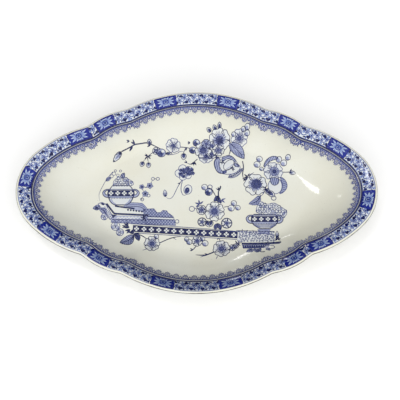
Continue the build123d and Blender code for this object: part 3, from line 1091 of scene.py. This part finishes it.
def draw_right_urn(pen):
    """The urn of fruit on its scrolled stand, at the right end of the band."""
    heap = [(50.6, -15), (52.8, -6.4), (55.6, -3.2), (58.8, -5.6), (62, -6.6), (67.2, -4.6), (71.6, -7.6),
            (77, -11.4), (78.6, -14.6), (74.6, -19.6), (69.8, -19.6), (66, -16)]
    fruit_heap(pen.on(3), heap, 2.7, 1.15, leafy=0.5)
    urn(pen.at(58.6, 0, level=4), (9.2, -15.6), (11.6, -17.2, -22.6), (5.4, -28), 2.0)
    for k, y in ((0.8, -24.6), (0.72, -25.6), (0.6, -26.6), (0.44, -29)):
        pen.on(4).stroke("mid", [(58.6 - 11.6 * k, y), (58.6 + 11.6 * k, y)], 0.34)
    stand = pen.on(2)
    stand.area("paper", polygon([(34.4, -30.4), (66.8, -31.2), (66.8, -41), (34.8, -40.6)]))
    stand.area("wash", polygon([(52.6, -29), (63, -29), (62.4, -33.4), (52.8, -33.4)]))
    scroll_fill(stand, (34.8, -40.6), (66.4, -30.8), 2.5)
    stand.stroke("dark", [(34, -30.2), (66.8, -31)], 0.32)
    stand.stroke("dark", [(38.4, -41.8), (71.6, -41.8)], 0.95)
    stand.stroke("mid", [(38.4, -43), (70.6, -43)], 0.4)
    for x, y, turn in ((63.6, -32.6, 0), (64.6, -35.6, 200)):
        stand.at(x, y, turn).stroke("mid", [(-1.6, 0.8), (0, 1.5), (1.3, 0.3), (0.4, -1), (-0.6, -0.2)], 0.36)
    stand.area("mid", polygon([(38.8, -43.2), (62, -43.4), (60.6, -46.6), (39.4, -46.4)]))
    beads = stand.on(3)
    for x in np.arange(39.8, 61, 1.9):
        beads.dot("dark", x, -45.1, 0.78, 7)
        beads.dot("paper", x + 0.9, -44.1, 0.34, 6)
    stand.loop("mid", circle(63, -46.2, 2.9, 14, 0.62), 0.36)
    leaves = (
        (45.6, -47, 222, 4.6), (46.4, -46.8, 262, 3.6), (48.6, -47, 300, 4.4),
        (54.6, -47, 214, 5), (52, -47.2, 262, 3.6), (58.6, -47.4, 330, 4),
    )
    for x, y, turn, size in leaves:
        leaf(stand.at(x, y, turn, level=3), size, 2.6, 0.5, "wash", "mid")
    stand.stroke("dark", [(52.4, -49), (54.6, -51), (57.6, -50.4)], 0.5)
    bud(pen.at(68.9, -37, 90, level=2), 6.4, 2.6)
    leaflets(pen.at(68.9, -38.6, level=2), 2.8, (15, 60, 120, 165, 205, 335))


def draw_left_urn(pen):
    """The domed urn on the table at the left."""
    arch = [(-74, 24), (-79, 17.5), (-82.5, 10.5), (-85, 4.5), (-85.5, 1.5), (-84.5, -3.5)]
    twig(pen, arch, 0.3, "mid")
    leaf(pen.at(-79.6, 15.2, 38, level=1), 5.4, 3.0, 0.4, "wash", "mid")
    fruit = ((-75, 19.6, 1.5), (-73, 22, 1.6), (-71.8, 24.8, 1.0), (-67.4, 24.6, 1.0), (-69.6, 20.6, 1.2))
    for x, y, r in fruit:
        pen.on(1).ring("mid", x, y, r, 0.28)
    dome = [
        (-73.6, 12), (-72.8, 16), (-68.8, 19), (-65, 19.6),
        (-60, 17), (-55.4, 14), (-55.8, 10.4), (-72, 10),
    ]
    fruit_heap(pen.on(1), dome, 2.3, 1.05, leafy=0.12)
    leaf(pen.at(-65.6, 17.6, 72, level=2), 5.4, 3.4, 0.4, "wash")
    urn(pen.at(-66.2, 0, level=4), (7.4, 11), (11.6, 6.6, 0.9), (5.4, -7), 2.15)


def draw_table(pen):
    """The low table with hatched slabs, a frieze and a scrolled end."""
    slab = pen.on(1)
    back = [
        (-71, -7.6), (-64.6, -8.6), (-58.6, -4.8), (-47, -5.2),
        (-42.8, -10.4), (-45.9, -13.6), (-59.5, -10.4),
    ]
    slab.area("wash", polygon(back))
    for drop, ink in ((0, "mid"), (1.5, "mid"), (3.2, "dark")):
        fold = [(-58 - drop, -4.9 - drop), (-47.4, -5.2 - drop), (-43.4 - 0.4 * drop, -10 - drop)]
        slab.stroke(ink, fold, 0.34)
    slab.stroke("paper", [(-59, -7.2), (-47, -7.4)], 0.6)
    slab.on(3).stroke("dark", [(-71, -8), (-65, -9), (-59.5, -9.6), (-54, -10.4)], 0.9)
    for i in range(6):
        slab.on(3).dot("dark", -59.6 + 2.4 * i, -11.5 - 0.3 * i, 0.9, 7)
    top = [(-76.8, -6.2), (-71.4, -14.2), (-46, -15.4), (-46.4, -13.8), (-59.5, -10.8), (-71.6, -8.4)]
    slab.on(2).area("paper", polygon(top))
    edge = pen.on(4)
    edge.stroke("dark", [(-78.5, -5.8), (-71.8, -14.6), (-70.6, -15.1), (-42, -16.4)], 1.0)
    edge.area("dark", polygon([(-73.6, -15.6), (-69, -16.2), (-72.4, -19)]))
    right = polygon([
        (-46.3, -11), (-37.3, -10.4), (-34.6, -14), (-31.3, -14), (-29.4, -12), (-25.9, -12.4), (-25.2, -14),
        (-20.6, -17.4), (-19.2, -21), (-18.2, -25.6), (-43.4, -24.4), (-46.6, -14),
    ])
    slab.filled("wash", "mid", right)
    hatch(slab, right, 1.9, 48)
    hatch(slab, right, 1.9, 132, 0.3)
    for y in (-17.6, -20):
        slab.on(2).stroke("dark", [(-42.6, y), (-31, y - 0.3), (-20, y - 0.8)], 0.36)
    slab.on(2).stroke("paper", [(-42, -18.8), (-20, -19.6)], 0.7)
    slab.at(-17, -22, level=2).ring("mid", 0, 0, 1.6, 0.36)
    slab.area("wash", polygon([(-73, -16.6), (-43.4, -17.2), (-43.4, -24.6), (-74.2, -22.6)]))
    low = polygon([(-73.6, -20.2), (-43.4, -20.8), (-43.4, -24.4), (-74, -22.6)])
    for lean in (35, 145):
        hatch(slab, low, 1.9, lean, 0.34)
    wave = slab.on(2)
    zigzag = [(x, -18.6 + (0.8 if i % 2 else -0.8)) for i, x in enumerate(np.arange(-69, -45, 1.5))]
    for start, end in zip(zigzag, zigzag[1:]):
        wave.stroke("paper", [start, end], 0.55)
    wave.stroke("dark", [(-73, -20.1), (-43.6, -20.8)], 0.36)
    wave.stroke("mid", [(-74.2, -22.7), (-60, -23.6), (-43.4, -24.8)], 0.4)
    leaflets(wave.at(-45.4, -18.6), 3.4, (60, 120, 180, 240, 300))
    strip = polygon([(-85.8, -6), (-82.6, -4.6), (-79.4, -6), (-72.6, -17.4), (-74.6, -20.6)])
    slab.filled("paper", "mid", strip, 0.4)
    slab.area("dark", polygon([(-83.8, -6), (-82.2, -4.9), (-79.6, -6.6), (-81.4, -7.4)]))
    for k in np.linspace(0.08, 0.95, 7):
        spot = slab.at(-81.6 + 8 * k, -8.2 - 10.4 * k, -56)
        spot.area("wash", petal_outline(2.0, 1.3, 0, 5))
        spot.dot("mid", 1.0, 0, 0.45, 6)
        for side in (1, -1):
            spot.stroke("mid", [(0, 1.3 * side), (1, 0.9 * side), (2, 1.3 * side)], 0.26)
    leaf(pen.at(-84.4, -7.6, 205, level=1), 6.2, 4.4, 0.8, "wash", "mid")
    leaf(pen.at(-78.6, -15.8, 138, level=1), 8.6, 4.6, -1.2, "wash", "mid")
    leaflets(pen.at(-86.4, -9.6, level=2), 2.6, (150, 215, 265, 320))
    for x, y, r in ((-79.9, -17.8, 2.9), (-69.9, -26.3, 3.8), (-65.9, -31.8, 3.2)):
        wheel = pen.at(x, y, 40 * x, level=2)
        wheel.area("paper", circle(0, 0, r, 16))
        wheel.ring("mid", 0, 0, r, 0.34, 16)
        for i in range(3):
            part = wheel.at(0, 0, 120 * i)
            part.ring("mid", r * 0.5, 0, r * 0.4, 0.28, 9)
            part.dot("wash", r * 0.55, 0, r * 0.3, 8)
        wheel.dot("dark", 0, 0, 0.5, 7)


def draw_band(pen):
    """The long band of crosses, with its thin lines above and below."""
    band = pen.at(-55, -28.3, np.degrees(np.arctan2(-5.9, 90)), level=2)
    crosses(band, 90.2, 14, 6.0, 2.22)
    band.stroke("mid", [(-2, 4.1), (60, 4.0), (122, 2.3)], 0.34)
    band.stroke("mid", [(-4, -4.0), (90, -4.0)], 0.34)
    leaves = ((-3, 0.6, 150, 5), (-2, -1, 200, 5), (-4, 2, 120, 4.4), (0, -1, 250, 4.4), (-6, 1.4, 170, 3.6))
    for x, y, turn, size in leaves:
        leaflets(band.at(x, y, level=3), size, (turn, turn + 34))


def draw_bush(pen):
    """The plant that stands behind the middle of the band."""
    twig(pen, [(21, 10.5), (20, 7.5), (18.5, 4.5), (19.5, -2), (17, -8)], 0.7)
    leaflets(pen.at(19.6, 6.6), 3.4, (60, 110, 150))
    twig(pen, [(8.6, 9), (13, 8), (15, 4), (17.6, -1)], 0.5)
    berry(pen.on(1), 6.8, 9.4, 2.7)
    ball(pen.on(1), 10.4, 4.8, 3.2)
    pen.at(11.6, 9.6, level=1).ring("mid", 0, 0, 1.9, 0.4)
    leaf(pen.at(18.4, 1.4, 236, level=1), 6.2, 3.6, 0.6, "mid")
    leaf(pen.at(18.4, 0.6, 292, level=1), 6.2, 3.4, -0.6, "mid")
    leaflets(pen.at(21.4, -2.4, level=1), 4.0, (20, 320, 260), "mid")
    blossom(pen.at(15.3, -13, 18, level=2), 9.0, 0.46, petals=6)
    blossom(pen.at(4.2, -11.6, 40, level=2), 4.4, 0.46)
    leaflets(pen.at(2.4, -6.4, level=1), 4.4, (40, 100, 160, 220), "mid")
    pen.at(-4.2, -10.6, level=1).ring("mid", 0, 0, 2.3, 0.36)
    twig(pen, [(-2, -10.4), (1, -9.6)], 0.35, "mid")
    for x, y, r in ((4.6, -22.4, 3.6), (25.8, -23.6, 4.4)):
        wheel = pen.at(x, y, 30, level=2)
        blossom(wheel, r, 0.42, rays=1)
        wheel.ring("dark", 0, 0, r * 1.04, 0.4)
    bud(pen.at(8.4, -21.4, 292, level=2), 6.2, 4.0, core="mid")
    bud(pen.at(12.6, -21.4, 262, level=2), 5.4, 3.6, core="mid")
    twig(pen, [(23.5, -9), (27, -8.4), (31, -8), (34, -9.2)], 0.4)
    berries(pen.on(2), ((32.2, -5.4, 2.4), (29.8, -10, 2.8), (35.6, -9.6, 2.2)))
    leaf(pen.at(15.5, -29.2, 62, level=2), 6.2, 3.2, 0.4, "mid")
    leaf(pen.at(20.6, -29.2, 118, level=2), 6.0, 3.2, -0.4, "mid")


def draw_lower_sprays(pen):
    """The blossoms and twigs that hang under the band."""
    leaf(pen.at(-54, -34.6, 212, level=1), 13.4, 8.2, 1.6, "wash")
    leaf(pen.at(-52.6, -33.6, 300, level=1), 6.6, 4.2, 0.6, "mid")
    leaflets(pen.at(-54, -33.4, level=2), 5.4, (150, 262, 330, 10))
    twig(pen, [(-50, -33.6), (-46, -35.2), (-42.5, -38)], 0.5)
    twig(pen, [(-32, -41.5), (-25, -38), (-19.5, -36.2), (-13.4, -35.4)], 0.5)
    twig(pen, [(-40, -46), (-46, -48.4)], 0.4, "mid")
    twig(pen, [(-20.6, -36.4), (-17.4, -38.4)], 0.35, "mid")
    blossom(pen.at(-38.2, -42, 8, level=1), 6.8, 0.44)
    berry(pen.on(1), -34.6, -35.6, 2.0)
    blossom(pen.at(0.4, -39.6, 30, level=1), 4.6, 0.5, rays=1)
    berries(pen.on(1), ((-6.4, -40.4, 2.4), (-8.6, -38, 2.0), (7.2, -41.6, 2.6), (5, -37.4, 2.0)))
    twig(pen, [(-0.5, -44), (-2.4, -46.4), (-4.5, -48.5)], 0.5)
    leaflets(pen.at(-3.2, -47.4), 3.0, (200, 150))
    blossom(pen.at(21.2, -46.5, 20, level=2), 7.4, 0.4)
    for x, y, r in ((30.2, -45.6, 2.9), (33.4, -44, 2.2)):
        blossom(pen.at(x, y, 30, level=1), r, 0.5, rays=0)
    twig(pen, [(28, -43.6), (33, -42.6), (38.6, -40.8)], 0.55)
    leaflets(pen.at(34.6, -42, level=1), 3.4, (40, 120, 330))
    leaflets(pen.at(18.6, -36.6), 2.4, (240, 300))
    twig(pen, [(19, -37), (20.4, -40.4)], 0.45)
    twig(pen, [(15.4, -49), (11, -51), (7, -52.5), (-0.8, -52)], 0.7)
    twig(pen, [(8, -52.2), (3, -54.2)], 0.4, "mid")
    leaflets(pen.at(9.2, -51.6), 2.8, (210, 160))
    twig(pen, [(17.6, -53.4), (16.4, -56)], 0.4, "mid")


def draw_scene():
    """All of the scene, in the order that its random draws depend on."""
    for draw in (
        draw_left_branch, draw_drooping_blossom, draw_sprig, draw_middle_cluster, draw_right_bouquet,
        draw_right_urn, draw_left_urn, draw_table, draw_band, draw_bush, draw_lower_sprays,
    ):
        draw(Pen("scene"))


# ---- Materials ----------------------------------------------------------------------
def linear(red, green, blue):
    """A colour given as it looks on screen, 0 to 255 (sRGB), as the light it stands for."""
    light = [((c / 255 + 0.055) / 1.055) ** 2.4 if c > 10 else c / 3295 for c in (red, green, blue)]
    return (*light, 1.0)


class Nodes:
    """A material's node tree, with short ways to add and join nodes."""

    def __init__(self, name):
        self.material = bpy.data.materials.new(name)
        self.material.use_nodes = True
        self.tree = self.material.node_tree
        self.shader = self.tree.nodes["Principled BSDF"]
        self.where = self.tree.nodes.new("ShaderNodeTexCoord").outputs["Object"]

    def join(self, source, target):
        """Links an output to an input."""
        self.tree.links.new(source, target)

    def noise(self, scale, detail=3.0, rough=0.5):
        """Cloudy noise; scale is per metre."""
        node = self.tree.nodes.new("ShaderNodeTexNoise")
        node.inputs["Scale"].default_value = scale
        node.inputs["Detail"].default_value = detail
        node.inputs["Roughness"].default_value = rough
        self.join(self.where, node.inputs["Vector"])
        return node.outputs["Fac"]

    def cracks(self, scale):
        """Distance to the borders of uneven cells, for a net of fine cracks."""
        node = self.tree.nodes.new("ShaderNodeTexVoronoi")
        node.feature = "DISTANCE_TO_EDGE"
        node.inputs["Scale"].default_value = scale
        self.join(self.where, node.inputs["Vector"])
        return node.outputs["Distance"]

    def spread(self, value, low, high, out_low=0.0, out_high=1.0):
        """A value between low and high, spread over another range."""
        node = self.tree.nodes.new("ShaderNodeMapRange")
        node.inputs["From Min"].default_value = low
        node.inputs["From Max"].default_value = high
        node.inputs["To Min"].default_value = out_low
        node.inputs["To Max"].default_value = out_high
        self.join(value, node.inputs["Value"])
        return node.outputs["Result"]

    def mix(self, share, first, second):
        """A colour that is first where share is 0 and second where it is 1."""
        node = self.tree.nodes.new("ShaderNodeMix")
        node.data_type = "RGBA"
        for value, place in ((share, 0), (first, 6), (second, 7)):  # the sockets of a colour mix
            if isinstance(value, bpy.types.NodeSocket):
                self.join(value, node.inputs[place])
            else:
                node.inputs[place].default_value = value
        return node.outputs[2]

    def finish(self, colour, roughness, bump=None, bump_depth=0.0):
        """Joins everything to the shader; the bump's depth is in metres."""
        self.join(colour, self.shader.inputs["Base Color"])
        if isinstance(roughness, bpy.types.NodeSocket):
            self.join(roughness, self.shader.inputs["Roughness"])
        else:
            self.shader.inputs["Roughness"].default_value = roughness
        if bump is not None:
            node = self.tree.nodes.new("ShaderNodeBump")
            node.inputs["Strength"].default_value = 1.0
            node.inputs["Distance"].default_value = bump_depth
            self.join(bump, node.inputs["Height"])
            self.join(node.outputs["Normal"], self.shader.inputs["Normal"])
        return self.material


GLAZE = linear(221, 222, 213)
GLAZE_WARM = linear(217, 216, 202)
# pooled glaze and painted shade at the shoulder share one blue-grey
GLAZE_POOL_AND_SHADE = linear(100, 108, 130)
MOST_POOLED_AND_SHADED = 0.8  # share of that colour where the glaze has run together most and the painted shade is deepest
GLAZE_ROUGHNESS = 0.1
GLAZE_BUMP = 0.00002  # metres
HEAVIEST_PAINTED_SHADE = 0.38  # share of the darkest blue at the -Y edge, as painted shade


def glaze_colour(nodes):
    """Cream lead glaze: mottled, with a few fine specks and a faint net of crazing."""
    colour = nodes.mix(nodes.spread(nodes.noise(14, 4, 0.6), 0.35, 0.65), GLAZE, GLAZE_WARM)
    craze = nodes.spread(nodes.cracks(150), 0.0, 0.012, 0.1, 0.0)
    colour = nodes.mix(craze, colour, linear(168, 158, 132))
    specks = nodes.spread(nodes.noise(900, 1, 0.5), 0.765, 0.8, 0.0, 0.45)
    return nodes.mix(specks, colour, linear(120, 104, 84))


def glazed(nodes, colour):
    """Puts the glaze over a colour: glossy, and slightly uneven in its gloss and its surface."""
    roughness = nodes.spread(nodes.noise(60, 3), 0.3, 0.7, GLAZE_ROUGHNESS * 0.8, GLAZE_ROUGHNESS * 1.4)
    return nodes.finish(colour, roughness, nodes.noise(45, 2), GLAZE_BUMP)


def china_material():
    """The cream glaze, darker where it has run together and where shade is painted, at the shoulder and the
    top of the wall.
    """
    nodes = Nodes("china_glaze")
    colour = glaze_colour(nodes)
    pooled_and_shaded = nodes.tree.nodes.new("ShaderNodeAttribute")
    pooled_and_shaded.attribute_name = "pooled_and_shaded"
    # darkened by the pooled glaze and the painted shade that the dish carries
    colour = nodes.mix(nodes.spread(pooled_and_shaded.outputs["Fac"], 0.0, 1.0, 0.0, MOST_POOLED_AND_SHADED), colour, GLAZE_POOL_AND_SHADE)
    return glazed(nodes, colour)


def ink_material(name, full, thin):
    """Cobalt under the glaze: denser and thinner by patches, with the grain of the transfer.

    The print is darkened toward the -Y side, most of all near the edge, as painted shade.
    """
    nodes = Nodes(name)
    place = nodes.tree.nodes.new("ShaderNodeSeparateXYZ")
    nodes.join(nodes.where, place.inputs[0])
    # painted shade: every ink, the pale ones too, darkens toward the -Y side of the dish
    painted_shade = nodes.spread(place.outputs["Y"], -0.03, -0.085, 0.0, HEAVIEST_PAINTED_SHADE)
    colour = nodes.mix(nodes.spread(nodes.noise(70, 3, 0.6), 0.35, 0.65), full, thin)
    lighter = nodes.mix(0.4, thin, GLAZE)
    colour = nodes.mix(nodes.spread(nodes.noise(900, 2, 0.6), 0.55, 0.75, 0.0, 0.4), colour, lighter)
    return glazed(nodes, nodes.mix(painted_shade, colour, linear(14, 18, 44)))


def gilt_material():
    """Old gilding, dulled to brown, with paler grey where it has worn through."""
    nodes = Nodes("worn_gilt")
    dulled = nodes.spread(nodes.noise(260, 3), 0.4, 0.62)
    gold = nodes.mix(dulled, linear(58, 54, 46), linear(44, 41, 35))
    worn = nodes.spread(nodes.noise(700, 3, 0.7), 0.52, 0.66, 0.0, 0.7)
    colour = nodes.mix(worn, gold, linear(128, 126, 116))
    nodes.shader.inputs["Metallic"].default_value = 0.45
    return nodes.finish(colour, nodes.spread(nodes.noise(500, 2), 0.3, 0.7, 0.25, 0.5))


BARE_ROUGHNESS = 0.8
BARE_BUMP = 0.00003  # metres


def foot_material():
    """Glazed like the dish, with a bare, slightly stained base where it stands."""
    nodes = Nodes("foot_china")
    place = nodes.tree.nodes.new("ShaderNodeSeparateXYZ")
    nodes.join(nodes.where, place.inputs[0])
    bare = nodes.spread(place.outputs["Z"], 0.0009, 0.0003)
    stained = nodes.spread(nodes.noise(120, 5, 0.7), 0.4, 0.7)
    biscuit = nodes.mix(stained, linear(206, 194, 170), linear(160, 142, 112))
    colour = nodes.mix(bare, glaze_colour(nodes), biscuit)
    roughness = nodes.spread(bare, 0, 1, GLAZE_ROUGHNESS, BARE_ROUGHNESS)
    return nodes.finish(colour, roughness, nodes.noise(800, 3), BARE_BUMP)


def floor_material():
    """A matt, nearly white table."""
    nodes = Nodes("floor")
    mottled = nodes.spread(nodes.noise(3, 2), 0.3, 0.7)
    return nodes.finish(nodes.mix(mottled, (0.93, 0.93, 0.93, 1), (0.95, 0.95, 0.95, 1)), 0.9)


# ---- The object ---------------------------------------------------------------------
gilt = gilt_material()
dish = build_body(china_material())
build_foot(foot_material())
build_gilding("lip_gilding", 12.4, 14.3, 0.35, "rim_gilt_line", gilt)
build_gilding("shoulder_gilding", 0.35, 1.05, 0.1, "shoulder_gilt_line", gilt)

draw_border()
draw_lace()
draw_scene()

INKS = {  # for each sheet: its material, then its full and its thin colour as they look on screen
    "panel_wash": ("cobalt_ground", (20, 34, 124), (26, 42, 136)),
    "panel_dark": ("cobalt_edge", (14, 20, 84), (20, 34, 124)),
    "panel_mid": ("panel_blue", (78, 102, 172), (98, 122, 188)),
    "panel_paper": ("panel_pale", (166, 186, 214), (190, 204, 220)),
    "border_dark": ("border_dark", (12, 18, 70), (22, 32, 94)),
    "border_mid": ("border_blue", (48, 68, 142), (68, 90, 158)),
    "border_wash": ("border_wash", (112, 134, 188), (138, 158, 202)),
    "border_paper": ("border_pale", (206, 214, 222), (214, 218, 218)),
    "lace_dark": ("lace_dark", (20, 26, 78), (34, 42, 98)),
    "lace_mid": ("lace_blue", (58, 68, 132), (78, 90, 152)),
    "lace_wash": ("lace_wash", (158, 165, 194), (182, 187, 202)),
    "scene_dark": ("scene_dark", (20, 26, 70), (36, 44, 90)),
    "scene_mid": ("scene_blue", (56, 64, 114), (80, 88, 136)),
    "scene_wash": ("scene_wash", (140, 148, 180), (164, 170, 196)),
    "scene_paper": ("scene_pale", (206, 210, 214), (216, 218, 213)),
}
surface = surface_of(dish)
for name, sheet in sorted(sheets.items()):
    label, full, thin = INKS[name]
    lay("print_" + name, sheet, surface, ink_material(label, linear(*full), linear(*thin)))


# ---- Floor, light and camera --------------------------------------------------------
def lamp(name, place, aim, wide, tall, power, along=(1, 0, 0)):
    """A soft box whose wide side runs along a direction."""
    data = bpy.data.lights.new(name, "AREA")
    data.shape, data.size, data.size_y, data.energy = "RECTANGLE", wide, tall, power
    light = bpy.data.objects.new(name, data)
    back = (Vector(place) - Vector(aim)).normalized()
    side = (Vector(along) - back * back.dot(Vector(along))).normalized()
    turned = Matrix((side, back.cross(side), back)).transposed()
    light.matrix_world = Matrix.Translation(place) @ turned.to_4x4()
    bpy.context.scene.collection.objects.link(light)


def build_floor(half):
    """A square floor that reaches half its size from the middle."""
    corners = [(-half, -half, 0), (half, -half, 0), (half, half, 0), (-half, half, 0)]
    mesh = bpy.data.meshes.new("floor")
    mesh.from_pydata(corners, [], [(0, 1, 2, 3)])
    mesh.materials.append(floor_material())
    floor = bpy.data.objects.new("floor", mesh)
    bpy.context.scene.collection.objects.link(floor)


BRIGHT_SIDE = (0.05, -0.5, 0.87)
BRIGHT_SPREAD = 0.2  # cosine of how far from that side the light reaches
SURROUND = (0.06, 1.88)  # its dimmest and brightest
MIRRORED = 0.35  # share of it that the glaze mirrors
BACKDROP = 0.8  # its brightness behind the dish


def studio_world():
    """A soft pale surround, brighter on one side than on the other and dimmer in reflections."""
    world = bpy.data.worlds.new("studio")
    world.use_nodes = True
    tree = world.node_tree

    def ramp(value, start, end, low=0.0, kind="LINEAR"):
        node = tree.nodes.new("ShaderNodeMapRange")
        node.interpolation_type = kind
        node.inputs["From Min"].default_value = low
        node.inputs["To Min"].default_value, node.inputs["To Max"].default_value = start, end
        tree.links.new(value, node.inputs["Value"])
        return node.outputs["Result"]

    def joined(kind, first, second):
        node = tree.nodes.new("ShaderNodeMath")
        node.operation = kind
        tree.links.new(first, node.inputs[0])
        tree.links.new(second, node.inputs[1])
        return node.outputs["Value"]

    toward = tree.nodes.new("ShaderNodeVectorMath")
    toward.operation = "DOT_PRODUCT"
    toward.inputs[1].default_value = Vector(BRIGHT_SIDE).normalized()
    tree.links.new(tree.nodes.new("ShaderNodeTexCoord").outputs["Generated"], toward.inputs[0])
    ray = tree.nodes.new("ShaderNodeLightPath").outputs
    light = ramp(toward.outputs["Value"], *SURROUND, low=BRIGHT_SPREAD, kind="SMOOTHSTEP")
    light = joined("MULTIPLY", light, ramp(ray["Is Glossy Ray"], 1.0, MIRRORED))
    light = joined("MAXIMUM", light, ramp(ray["Is Camera Ray"], 0.0, BACKDROP))
    tree.links.new(light, tree.nodes["Background"].inputs["Strength"])
    tree.nodes["Background"].inputs["Color"].default_value = (1, 1, 1, 1)
    return world


build_floor(3.0)
bpy.context.scene.world = studio_world()

lamp("window", (-1.4, 1.2, 6.0), (0.095, 0.011, 0.01), 1.8, 0.7, 46, along=(-0.98, 0.2, 0))
lamp("side_window", (-3.3, 1.9, 3.1), (0.12, 0, 0.016), 0.3, 0.3, 1.2)
lamp("low_window", (-0.7, 3.84, 0.8), (0.037, -0.054, 0.012), 0.16, 0.8, 4.2)

CAMERA_ELEVATION = np.radians(71)
CAMERA_DISTANCE = 0.65  # metres, and so is the point it aims at
CAMERA_AIM = np.array([0.0028, -0.0052, 0.016])
SENSOR = 36.0  # millimetres, and so is the lens
LENS = 68.05
camera_data = bpy.data.cameras.new("camera")
camera_data.sensor_width = SENSOR
camera_data.lens = LENS
camera = bpy.data.objects.new("camera", camera_data)
toward = np.array([0, -np.cos(CAMERA_ELEVATION), np.sin(CAMERA_ELEVATION)])
camera.location = CAMERA_AIM + CAMERA_DISTANCE * toward
camera.rotation_euler = (-Vector(toward)).to_track_quat("-Z", "Y").to_euler()
bpy.context.scene.collection.objects.link(camera)
bpy.context.scene.camera = camera
bpy.context.scene.view_settings.view_transform = "Standard"

bpy.context.view_layer.update()
